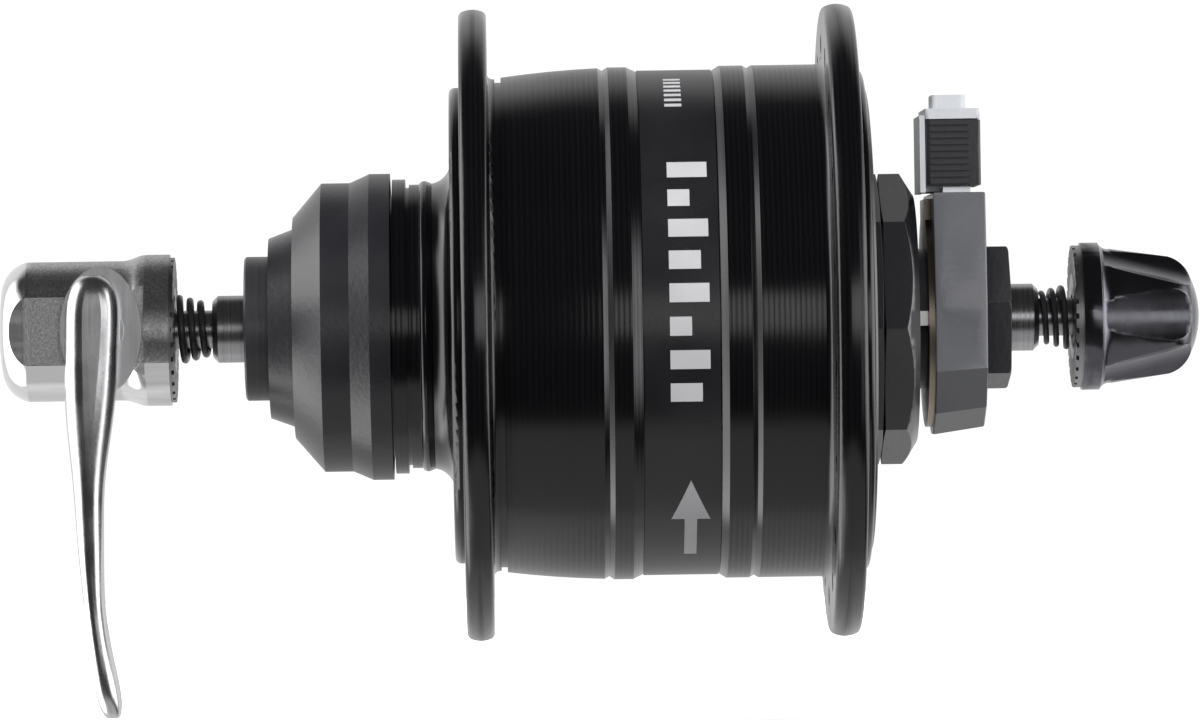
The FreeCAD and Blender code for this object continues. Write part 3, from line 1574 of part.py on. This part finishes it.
def make_parts():
    """Builds every sub-part and returns them in order."""
    core_left = S.stator_left_y - S.claw_plate
    core_right = S.stator_right_y + S.claw_plate
    parts = [
        make_axle(),
        make_cone("left_cone", S.left_ball_y, 1, S.left_cone_y),
        ring("left_spacer", S.left_spacer_radius, S.axle_radius, S.left_spacer_y,
             S.left_locknut_y),
        make_left_locknut(),
        make_right_cone(),
        make_contact_plate(),
        make_terminal_block(),
        make_terminal_blades(),
        hex_nut("right_locknut", S.right_locknut_flats, LOCKNUT_TURN, -S.locknut_face,
                S.right_locknut_y, S.axle_radius, S.nut_chamfer),
        make_bobbin(),
        make_winding(),
        make_left_claws(),
        make_right_claws(),
        ring("stator_core", S.core_radius, S.axle_middle_radius, core_right, core_left),
        hex_nut("stator_nut", S.stator_nut_flats, 0, S.stator_nut_y, S.stator_right_y,
                S.axle_middle_radius, S.nut_chamfer),
        make_coil_lead(),
        make_lead_insulator(),
        make_hub_shell(),
        make_cup("left_bearing_cup", S.left_ball_y, 1),
        make_cup("right_bearing_cup", S.right_ball_y, -1),
        make_end_cap(),
        make_end_cap_seal(),
        ring("magnet_yoke", S.shell_bore_radius, S.yoke_inner_radius, S.magnet_right_y,
             S.magnet_left_y),
        make_magnets(),
        make_dust_seal("left_dust_seal", S.left_ball_y, 1),
        make_dust_seal("right_dust_seal", S.right_ball_y, -1),
        make_rotation_label(),
        ball_row("left_balls", S.left_ball_y, S.ball_radius),
        make_ball_cage("left_ball_cage", S.left_ball_y, 1),
        ball_row("right_balls", S.right_ball_y, S.ball_radius),
        make_ball_cage("right_ball_cage", S.right_ball_y, -1),
        make_rotor_mount_cap(),
        make_left_spring(),
        make_skewer_rod(),
        make_lever_housing(),
        make_housing_clamp_ring(),
        make_lever(),
        make_cam_shaft(),
        make_cam_nut(),
        make_right_spring(),
        make_adjusting_nut(),
        ring("nylon_insert", S.insert_radius, S.nut_bore_radius - S.insert_grip, S.insert_far_y,
             S.insert_near_y),
        make_nut_clamp_ring(),
        make_plug_body(),
        make_plug_contacts(),
        make_plug_cover(),
    ]
    return parts


def check_parts(parts):
    """Stops if any object failed or any sub-part has no valid shape."""
    doc.recompute()
    for item in doc.Objects:
        if "Invalid" in item.State or "Error" in item.State:
            raise ValueError("%s is %s" % (item.Name, item.State))
    for part in parts:
        if part.Shape.isNull() or not part.Shape.isValid():
            raise ValueError(part.Label + " has no valid shape")


def write_parts(parts):
    os.makedirs("parts", exist_ok=True)
    for part in parts:
        part.Shape.exportStep("parts/%s.step" % part.Label)
        print("%-22s %2d solids %10.2f mm3" % (part.Label, len(part.Shape.Solids),
                                               part.Shape.Volume))


hub_parts = make_parts()
check_parts(hub_parts)
write_parts(hub_parts)
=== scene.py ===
"""Looks for a bicycle hub dynamo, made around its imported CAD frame. Lengths are in metres."""

import json
import math

import bpy
from mathutils import Matrix, Vector


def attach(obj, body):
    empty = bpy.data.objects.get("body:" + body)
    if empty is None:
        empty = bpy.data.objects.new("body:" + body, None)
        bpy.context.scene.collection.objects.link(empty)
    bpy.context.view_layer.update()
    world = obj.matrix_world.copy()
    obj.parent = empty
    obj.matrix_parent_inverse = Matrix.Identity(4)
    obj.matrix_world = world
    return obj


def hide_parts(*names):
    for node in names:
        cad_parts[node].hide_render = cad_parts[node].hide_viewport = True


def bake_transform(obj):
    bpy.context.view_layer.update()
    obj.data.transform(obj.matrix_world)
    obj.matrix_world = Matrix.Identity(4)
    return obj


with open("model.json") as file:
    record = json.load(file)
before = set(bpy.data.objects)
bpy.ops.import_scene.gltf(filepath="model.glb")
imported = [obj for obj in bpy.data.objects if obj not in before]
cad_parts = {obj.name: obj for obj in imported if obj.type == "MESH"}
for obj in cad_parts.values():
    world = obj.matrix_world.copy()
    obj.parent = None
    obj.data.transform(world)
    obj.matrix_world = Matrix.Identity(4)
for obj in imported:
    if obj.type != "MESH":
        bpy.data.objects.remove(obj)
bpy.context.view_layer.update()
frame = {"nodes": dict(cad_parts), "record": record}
NODES = frame["nodes"]
RECORD = frame["record"]
MM = 0.001
WHITE = (1, 1, 1, 1)

# The step of the turning tool's feed lines on the shell.
FEED_PITCH = 0.00068

# The as-cast skin on the lever's housing: it fades out between two stations and ends at a height.
CAST_FADE_START = 0.0777
CAST_FADE_END = 0.079
CAST_LOWEST = -0.0043

# The printed band on the label: its two edges, and how far the print stands over the film.
BAND_LEFT = -0.0050
BAND_RIGHT = -0.0101
PRINT_LIFT = 0.00003
PRINT_DEPTH = 0.00006

# The label's bars, by angle round the axis from the middle of the front, in degrees.
BAR_COUNT = 8
BAR_START = 38
BAR_STEP = 7.4
BAR_ANGLE = 4.2
BAR_REACH = (1.0, 0.55, 1.0, 0.8)
BAR_POINTS = 5
TICK_COUNT = 7
TICK_START = 57
TICK_STEP = 2.4
TICK_ANGLE = 1.2
TICK_LENGTH = 0.0022
ARROW_TAIL = -65
ARROW_NECK = -50
ARROW_TIP = -38
ARROW_HALF_SHAFT = 0.0008
ARROW_HALF_HEAD = 0.0025
ARROW_POINTS = 9
ARROW_TIP_HALF = 0.00002

# The camera looks along +X. The frame is 1200 wide, at 7.62 to the millimetre on the axis.
CAMERA_DISTANCE = 1.05
CAMERA_Y = 0.0154
CAMERA_Z = -0.0046
CAMERA_ROLL = 0.87
CAMERA_SHIFT = 0.075
SENSOR = 36
VIEW_WIDTH = 1200 / 7.62 * MM


# ---------------------------------------------------------------- material building

class Shade:
    """A Principled material whose nodes are added by short calls."""

    def __init__(self, name, color, metallic=0.0, roughness=0.5, **constant):
        self.material = bpy.data.materials.new(name)
        self.material.use_nodes = True
        self.tree = self.material.node_tree
        self.shader = self.tree.nodes["Principled BSDF"]
        self.shader.inputs["Base Color"].default_value = (*color, 1)
        self.shader.inputs["Metallic"].default_value = metallic
        self.shader.inputs["Roughness"].default_value = roughness
        for socket, value in constant.items():
            self.shader.inputs[socket.replace("_", " ")].default_value = value
        self.place = self.tree.nodes.new("ShaderNodeTexCoord").outputs["Object"]

    def node(self, kind, **settings):
        """A new node with these settings."""
        made = self.tree.nodes.new(kind)
        for key, value in settings.items():
            setattr(made, key, value)
        return made

    def put(self, source, socket):
        """Feeds a socket from another node's output, or from a constant."""
        if hasattr(source, "is_output"):
            self.tree.links.new(source, socket)
        else:
            socket.default_value = source

    def math(self, operation, *values):
        """The result of one arithmetic step."""
        made = self.node("ShaderNodeMath", operation=operation)
        for value, socket in zip(values, made.inputs):
            self.put(value, socket)
        return made.outputs[0]

    def scaled(self, vector, factors):
        """A vector multiplied axis by axis."""
        made = self.node("ShaderNodeVectorMath", operation="MULTIPLY")
        self.put(vector, made.inputs[0])
        made.inputs[1].default_value = factors
        return made.outputs[0]

    def parts(self):
        """The x, y and z of the point being shaded."""
        made = self.node("ShaderNodeSeparateXYZ")
        self.tree.links.new(self.place, made.inputs[0])
        return made.outputs

    def radius(self):
        """The distance from the spin axis."""
        x, _, z = self.parts()
        return self.math("SQRT", self.math("ADD", self.math("MULTIPLY", x, x),
                                           self.math("MULTIPLY", z, z)))

    def noise(self, scale, detail, vector=None, dimensions="3D"):
        """Noise about 0.5, over the object's own space unless a vector is given."""
        made = self.node("ShaderNodeTexNoise", noise_dimensions=dimensions)
        made.inputs["Scale"].default_value = scale
        made.inputs["Detail"].default_value = detail
        self.tree.links.new(vector or self.place, made.inputs["Vector"])
        return made.outputs["Fac"]

    def spread(self, value, low, high, to_low, to_high):
        """A value carried from one range to another, and held at its ends."""
        made = self.node("ShaderNodeMapRange")
        for key, number in (("Value", value), ("From Min", low), ("From Max", high),
                            ("To Min", to_low), ("To Max", to_high)):
            self.put(number, made.inputs[key])
        return made.outputs[0]

    def mixed(self, factor, first, second):
        """A colour between two others."""
        made = self.node("ShaderNodeMix", data_type="RGBA")
        self.put(factor, made.inputs[0])
        for value, socket in ((first, made.inputs[6]), (second, made.inputs[7])):
            self.put(value if hasattr(value, "is_output") else (*value, 1), socket)
        return made.outputs[2]

    def color(self, source):
        """Drives the base colour."""
        self.tree.links.new(source, self.shader.inputs["Base Color"])

    def rough(self, source):
        """Drives the roughness."""
        self.tree.links.new(source, self.shader.inputs["Roughness"])

    def bump(self, height, distance):
        """Relief from a height between 0 and 1, over a distance in metres."""
        made = self.node("ShaderNodeBump")
        made.inputs["Distance"].default_value = distance
        made.inputs["Strength"].default_value = 1.0
        self.tree.links.new(height, made.inputs["Height"])
        self.tree.links.new(made.outputs[0], self.shader.inputs["Normal"])

    def turning(self, scale):
        """Fine lines that run round the spin axis, on barrels and on faces alike."""
        joined = self.node("ShaderNodeCombineXYZ")
        self.tree.links.new(self.parts()[1], joined.inputs[0])
        self.tree.links.new(self.radius(), joined.inputs[1])
        return self.noise(scale, 2.0, joined.outputs[0], "2D")


def turned_metal(name, color, roughness, lines, depth, metallic=1.0, **constant):
    """Lathe-turned metal: fine lines round the axis, with cloudy changes of gloss."""
    spread = 0.08
    made = Shade(name, color, metallic, roughness, **constant)
    cloud = made.noise(90, 4)
    fine = made.turning(lines)
    made.rough(made.math("ADD", made.spread(cloud, 0.3, 0.7, roughness - spread / 2,
                                            roughness + spread / 2),
                         made.spread(fine, 0.3, 0.7, -spread / 3, spread / 3)))
    dark = tuple(c * 0.82 for c in color)
    made.color(made.mixed(made.spread(fine, 0.35, 0.65, 0, 1), dark, color))
    made.bump(fine, depth)
    return made


def moulded(name, color, roughness, grain=1400, depth=0.00003):
    """Moulded plastic: a fine pebbled skin, faint flow clouds and handling gloss."""
    spread = 0.1
    made = Shade(name, color, 0.0, roughness)
    cloud = made.noise(60, 3)
    pebble = made.noise(grain, 3)
    made.rough(made.spread(cloud, 0.3, 0.7, roughness - spread / 2, roughness + spread / 2))
    pale = tuple(c * 1.25 + 0.004 for c in color)
    made.color(made.mixed(made.spread(cloud, 0.35, 0.7, 0, 1), color, pale))
    made.bump(pebble, depth)
    return made


def polished(name, color, roughness):
    """Hand-polished light alloy: soft waves from the wheel, with faint hairlines."""
    made = Shade(name, color, 1.0, roughness)
    wave = made.noise(130, 2)
    hair = made.noise(900, 2, made.scaled(made.place, (1.0, 1.0, 0.06)))
    made.rough(made.math("ADD", made.spread(wave, 0.3, 0.7, roughness * 0.7, roughness * 1.3),
                         made.spread(hair, 0.4, 0.8, 0, 0.05)))
    dull = tuple(c * 0.9 for c in color)
    made.color(made.mixed(made.spread(hair, 0.45, 0.75, 0, 1), color, dull))
    both = made.math("ADD", wave, made.math("MULTIPLY", hair, 0.15))
    made.bump(both, 0.00004)
    return made


def shell_material():
    """Black anodised shell: even feed lines from the turning tool, over a low gloss."""
    made = Shade("shell_black", (0.003, 0.003, 0.004), 0.0, 0.18, Specular_IOR_Level=0.5)
    station = made.math("ADD", made.parts()[1], made.radius())
    feed = made.math("SINE", made.math("MULTIPLY", station, 2 * math.pi / FEED_PITCH))
    fine = made.turning(3600)
    cloud = made.noise(90, 4)
    streak = made.math("MULTIPLY", made.spread(feed, -1, 1, 0, 1),
                       made.spread(fine, 0.3, 0.7, 0.3, 1))
    made.color(made.mixed(streak, (0.001, 0.001, 0.0015), (0.0028, 0.0028, 0.0036)))
    made.rough(made.spread(cloud, 0.3, 0.7, 0.15, 0.21))
    made.bump(made.math("ADD", fine, made.math("MULTIPLY", feed, 0.5)), 0.000005)
    return made


def housing_material():
    """Polished alloy, with the as-cast skin left on its inner and upper part."""
    made = Shade("housing_alloy", (0.8, 0.8, 0.81), 1.0, 0.15)
    _, y, z = made.parts()
    cast = made.math("MULTIPLY", made.spread(y, CAST_FADE_START, CAST_FADE_END, 1, 0),
                     made.math("GREATER_THAN", z, CAST_LOWEST))
    wave = made.noise(130, 2)
    pits = made.noise(3000, 4)
    hair = made.noise(900, 2, made.scaled(made.place, (1.0, 0.06, 1.0)))
    grey = made.mixed(made.spread(pits, 0.4, 0.7, 0, 1), (0.4, 0.4, 0.41), (0.66, 0.66, 0.66))
    bright = made.mixed(made.spread(hair, 0.45, 0.75, 0, 1), (0.72, 0.72, 0.73),
                        (0.64, 0.64, 0.65))
    made.color(made.mixed(cast, bright, grey))
    made.rough(made.math("ADD", made.spread(hair, 0.4, 0.8, 0.12, 0.19),
                         made.math("MULTIPLY", cast, 0.22)))
    rough_skin = made.math("MULTIPLY", made.math("MULTIPLY", pits, cast), 0.5)
    made.bump(made.math("ADD", wave, rough_skin), 0.00004)
    return made


MATERIALS = {
    "dark_steel": turned_metal("axle_steel", (0.42, 0.42, 0.43), 0.28, 3000, 0.00001),
    "bearing_steel": turned_metal("ground_steel", (0.62, 0.62, 0.63), 0.2, 3000, 0.00001),
    "black_steel": turned_metal("oxide_steel", (0.035, 0.035, 0.038), 0.33, 2500, 0.00002,
                                metallic=0.35),
    "plated_contact": turned_metal("plated_sheet", (0.32, 0.27, 0.22), 0.35, 1800, 0.00001),
    "contact_metal": turned_metal("tinned_brass", (0.72, 0.68, 0.58), 0.25, 1500, 0.00001),
    "terminal_plastic": moulded("terminal_grey", (0.07, 0.071, 0.078), 0.28),
    "pale_plastic": moulded("pale_insulator", (0.72, 0.72, 0.70), 0.4),
    "copper_wire": turned_metal("enamelled_wire", (0.55, 0.22, 0.09), 0.3, 2500, 0.00006),
    "pole_iron": turned_metal("pressed_iron", (0.22, 0.22, 0.23), 0.45, 900, 0.00002),
    "black_shell": shell_material(),
    "black_end_cap": turned_metal("end_cap_black", (0.012, 0.012, 0.014), 0.24, 2600, 0.000012,
                                  metallic=0.0, Specular_IOR_Level=0.7),
    "seal_rubber": moulded("seal_rubber", (0.01, 0.01, 0.01), 0.6),
    "magnet_ferrite": moulded("ferrite", (0.06, 0.06, 0.065), 0.6),
    "label_film": moulded("label_film", (0.006, 0.006, 0.007), 0.26, grain=2600,
                          depth=0.00001),
    "cap_plastic": moulded("rotor_cap_grey", (0.009, 0.009, 0.011), 0.3),
    "black_spring": turned_metal("spring_wire", (0.02, 0.02, 0.022), 0.3, 1500, 0.00001,
                                 metallic=0.5),
    "polished_alloy": housing_material(),
    "polished_lever": polished("lever_alloy", (0.56, 0.56, 0.57), 0.24),
    "clamp_steel": turned_metal("clamp_steel", (0.36, 0.36, 0.37), 0.4, 1500, 0.00003),
    "black_nut": polished("nut_black", (0.115, 0.115, 0.13), 0.2),
    "grey_plastic": moulded("plug_grey", (0.38, 0.39, 0.41), 0.42),
    "black_plastic": moulded("plug_black", (0.014, 0.014, 0.016), 0.38),
}

for part in RECORD["subparts"]:
    mesh = NODES[part["node"]].data
    mesh.materials.clear()
    mesh.materials.append(MATERIALS[part["material_slot"]].material)


# ---------------------------------------------------------------- softened edges

def soften(node, width):
    """Welds a CAD node's faces and rounds its sharp edges, so that they catch the light."""
    piece = NODES[node]
    weld = piece.modifiers.new("weld", "WELD")
    weld.merge_threshold = 0.000002
    bevel = piece.modifiers.new("soft_edges", "BEVEL")
    bevel.width = width
    bevel.segments = 2
    bevel.limit_method = "ANGLE"
    bevel.angle_limit = math.radians(35)
    bevel.harden_normals = True
    bevel.use_clamp_overlap = True


SOFT_EDGES = {
    "hub_end_cap": 0.0003,
    "right_locknut": 0.0003,
    "terminal_block": 0.0003,
    "plug_body": 0.00015,
    "plug_cover": 0.00008,
    "adjusting_nut": 0.00012,
}

for soft_node, edge_width in SOFT_EDGES.items():
    soften(soft_node, edge_width)


# ---------------------------------------------------------------- marks on the label

def label_mark(points, start, end, radius):
    """One printed mark, as a shallow raised strip: its low and high edge at each step round it."""
    vertices = []
    faces = []
    last = len(points) - 1
    for k, (low, high) in enumerate(points):
        angle = math.radians(start + (end - start) * k / last)
        for y, depth in ((low, PRINT_DEPTH), (low, 0.0), (high, 0.0), (high, PRINT_DEPTH)):
            r = radius - depth
            vertices.append((-r * math.cos(angle), y, r * math.sin(angle)))
    for k in range(last):
        for side in range(3):
            i = 4 * k + side
            faces.append((i, i + 1, i + 5, i + 4))
    faces.append((0, 3, 2, 1))
    faces.append((4 * last, 4 * last + 1, 4 * last + 2, 4 * last + 3))
    return vertices, faces


def bar_marks(radius):
    """Generic bars and ticks where a maker would print a name."""
    marks = []
    for k in range(BAR_COUNT):
        start = BAR_START - BAR_STEP * k
        far = BAND_LEFT + (BAND_RIGHT - BAND_LEFT) * BAR_REACH[k % len(BAR_REACH)]
        marks.append(label_mark([(far, BAND_LEFT)] * BAR_POINTS, start - BAR_ANGLE, start, radius))
    for k in range(TICK_COUNT):
        start = TICK_START + TICK_STEP * k
        marks.append(label_mark([(BAND_LEFT - TICK_LENGTH, BAND_LEFT)] * 2, start,
                                start + TICK_ANGLE, radius))
    return marks


def arrow_marks(radius):
    """The arrow for the wheel's turn: its shaft and its head."""
    middle = (BAND_LEFT + BAND_RIGHT) / 2
    shaft = [(middle - ARROW_HALF_SHAFT, middle + ARROW_HALF_SHAFT)] * ARROW_POINTS
    head = []
    for k in range(ARROW_POINTS):
        half = ARROW_HALF_HEAD * (1 - k / (ARROW_POINTS - 1)) + ARROW_TIP_HALF
        head.append((middle - half, middle + half))
    return [label_mark(shaft, ARROW_TAIL, ARROW_NECK, radius),
            label_mark(head, ARROW_NECK, ARROW_TIP, radius)]


def make_label_marks():
    """All the marks on the label, as one piece that turns with the hub."""
    label = NODES["rotation_label"].data
    radius = max(math.hypot(v.co.x, v.co.z) for v in label.vertices) + PRINT_LIFT
    marks = bar_marks(radius) + arrow_marks(radius)
    vertices = []
    faces = []
    for points, loops in marks:
        base = len(vertices)
        vertices += points
        faces += [tuple(base + i for i in loop) for loop in loops]
    mesh = bpy.data.meshes.new("label_marks")
    mesh.from_pydata(vertices, [], faces)
    mesh.materials.append(moulded("mark_ink", (0.3, 0.3, 0.31), 0.4, grain=2600,
                                  depth=0.000008).material)
    piece = bpy.data.objects.new("label_marks", mesh)
    bpy.context.scene.collection.objects.link(piece)
    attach(piece, "hub")


make_label_marks()


# ---------------------------------------------------------------- springs

def make_spring(node_name):
    """A copy of a CAD spring, set where the spring stands, with the CAD spring hidden."""
    node = NODES[node_name]
    piece = bpy.data.objects.new(node_name + "_coils", node.data.copy())
    bpy.context.scene.collection.objects.link(piece)
    piece.matrix_world = node.matrix_world.copy()
    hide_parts(node_name)
    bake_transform(piece)


make_spring("left_spring")
make_spring("right_spring")


# ---------------------------------------------------------------- stage, light and camera

def area_light(name, place, size, power):
    """A square white lamp, aimed at the middle of the hub and hidden from the camera."""
    data = bpy.data.lights.new(name, "AREA")
    data.shape = "RECTANGLE"
    data.size = size
    data.size_y = size
    data.energy = power
    made = bpy.data.objects.new(name, data)
    bpy.context.scene.collection.objects.link(made)
    made.location = place
    aim = -Vector(place)
    made.rotation_euler = aim.to_track_quat("-Z", "Y").to_euler()
    made.visible_camera = False
    return made


def make_floor():
    """A pale round floor just under the lever's tip."""
    count = 96
    radius = 0.6
    height = -0.0535
    turns = [2 * math.pi * k / count for k in range(count)]
    ring = [(radius * math.cos(turn), radius * math.sin(turn), height) for turn in turns]
    mesh = bpy.data.meshes.new("floor")
    mesh.from_pydata(ring, [], [tuple(range(count))])
    floor = bpy.data.objects.new("floor", mesh)
    bpy.context.scene.collection.objects.link(floor)
    floor.visible_glossy = False
    floor.visible_diffuse = False
    shade = Shade("floor_pale", (0.86, 0.86, 0.86), 0.0, 0.8)
    cloud = shade.noise(3, 2)
    shade.color(shade.mixed(cloud, (0.85, 0.85, 0.85), (0.88, 0.88, 0.88)))
    mesh.materials.append(shade.material)
    return floor


class Studio:
    """The world: white to look at, and soft boxes of light all round for the object to reflect.
    Azimuth 0 is towards the camera's side, 90 towards the lever; elevation is above level."""

    def __init__(self):
        world = bpy.data.worlds.new("studio")
        bpy.context.scene.world = world
        world.use_nodes = True
        self.nodes = world.node_tree.nodes
        self.links = world.node_tree.links
        self.nodes.clear()
        way = self.nodes.new("ShaderNodeTexCoord").outputs["Generated"]
        split = self.nodes.new("ShaderNodeSeparateXYZ")
        self.links.new(way, split.inputs[0])
        x, y, z = split.outputs
        self.elevation = self.math("ARCSINE", z)
        self.azimuth = self.math("ARCTAN2", y, self.math("MULTIPLY", x, -1.0))
        self.total = None

    def math(self, operation, *values):
        """The result of one arithmetic step."""
        made = self.nodes.new("ShaderNodeMath")
        made.operation = operation
        for value, socket in zip(values, made.inputs):
            if hasattr(value, "is_output"):
                self.links.new(value, socket)
            else:
                socket.default_value = value
        return made.outputs[0]

    def rise(self, value, middle, soft):
        """0 below an angle and 1 above it, with a soft change that reaches to each side."""
        made = self.nodes.new("ShaderNodeMapRange")
        made.interpolation_type = "SMOOTHSTEP"
        self.links.new(value, made.inputs["Value"])
        made.inputs["From Min"].default_value = math.radians(middle - soft)
        made.inputs["From Max"].default_value = math.radians(middle + soft)
        return made.outputs[0]

    def box(self, azimuth, elevation, soft, strength):
        """A soft box between two azimuths and two elevations, in degrees."""
        low = self.rise(self.elevation, elevation[0], soft)
        high = self.rise(self.elevation, elevation[1], soft)
        light = self.math("SUBTRACT", low, high)
        start = self.rise(self.azimuth, azimuth[0], soft)
        end = self.rise(self.azimuth, azimuth[1], soft)
        light = self.math("MULTIPLY", light, self.math("SUBTRACT", start, end))
        light = self.math("MULTIPLY", light, strength)
        self.total = self.math("ADD", self.total, light) if self.total else light

    def finish(self, base):
        """Adds an even base light, and gives the camera plain white in place of the boxes."""
        total = self.math("ADD", self.total, base)
        white = self.nodes.new("ShaderNodeBackground")
        white.inputs["Strength"].default_value = 1.05
        soft = self.nodes.new("ShaderNodeBackground")
        for background in (white, soft):
            background.inputs["Color"].default_value = WHITE
        self.links.new(total, soft.inputs["Strength"])
        path = self.nodes.new("ShaderNodeLightPath")
        mix = self.nodes.new("ShaderNodeMixShader")
        out = self.nodes.new("ShaderNodeOutputWorld")
        self.links.new(path.outputs["Is Camera Ray"], mix.inputs[0])
        self.links.new(soft.outputs[0], mix.inputs[1])
        self.links.new(white.outputs[0], mix.inputs[2])
        self.links.new(mix.outputs[0], out.inputs[0])


def make_studio():
    """Soft boxes given by azimuth, elevation, softness and strength."""
    behind_left = ((128, 181), (-90, 54), 14, 0.85)
    behind_right = ((-181, -128), (-90, 54), 14, 0.85)
    table = ((-128, 128), (-91, -46), 5, 0.55)
    small_front = ((-40, 0), (-5, 12), 3, 1.8)
    lever_side = ((58, 124), (-62, 44), 12, 3.8)
    nut_side = ((-115, -48), (-24, 25), 14, 3.6)
    studio = Studio()
    for box in (behind_left, behind_right, table, small_front, lever_side, nut_side):
        studio.box(*box)
    studio.finish(0.05)


def light_floor(floor):
    """A wide soft light overhead that only the floor receives."""
    lamp = area_light("floor_light", (0, 0, 1.6), 1.6, 60)
    group = bpy.data.collections.new("floor_only")
    group.objects.link(floor)
    lamp.light_linking.receiver_collection = group


def make_fill():
    """A wide lamp over the camera that lights rough surfaces and is not mirrored."""
    lamp = area_light("front_fill", (-1.0, 0.1, 0.9), 0.8, 30)
    lamp.visible_glossy = False


def make_camera():
    """A distant camera square to the hub, rolled a little as the hub lies in the picture."""
    data = bpy.data.cameras.new("camera")
    camera = bpy.data.objects.new("camera", data)
    bpy.context.scene.collection.objects.link(camera)
    data.sensor_width = SENSOR
    data.lens = SENSOR * CAMERA_DISTANCE / VIEW_WIDTH
    data.shift_x = CAMERA_SHIFT
    data.clip_start = 0.01
    data.clip_end = 50
    camera.location = (-CAMERA_DISTANCE, CAMERA_Y, CAMERA_Z)
    forward = Vector((1, 0, 0))
    level = forward.to_track_quat("-Z", "Y").to_matrix().to_4x4()
    roll = Matrix.Rotation(math.radians(CAMERA_ROLL), 4, forward)
    camera.rotation_euler = (roll @ level).to_euler()
    bpy.context.scene.camera = camera


make_studio()
light_floor(make_floor())
make_fill()
make_camera()
bpy.context.scene.view_settings.view_transform = "Standard"
bpy.context.scene.view_settings.look = "None"
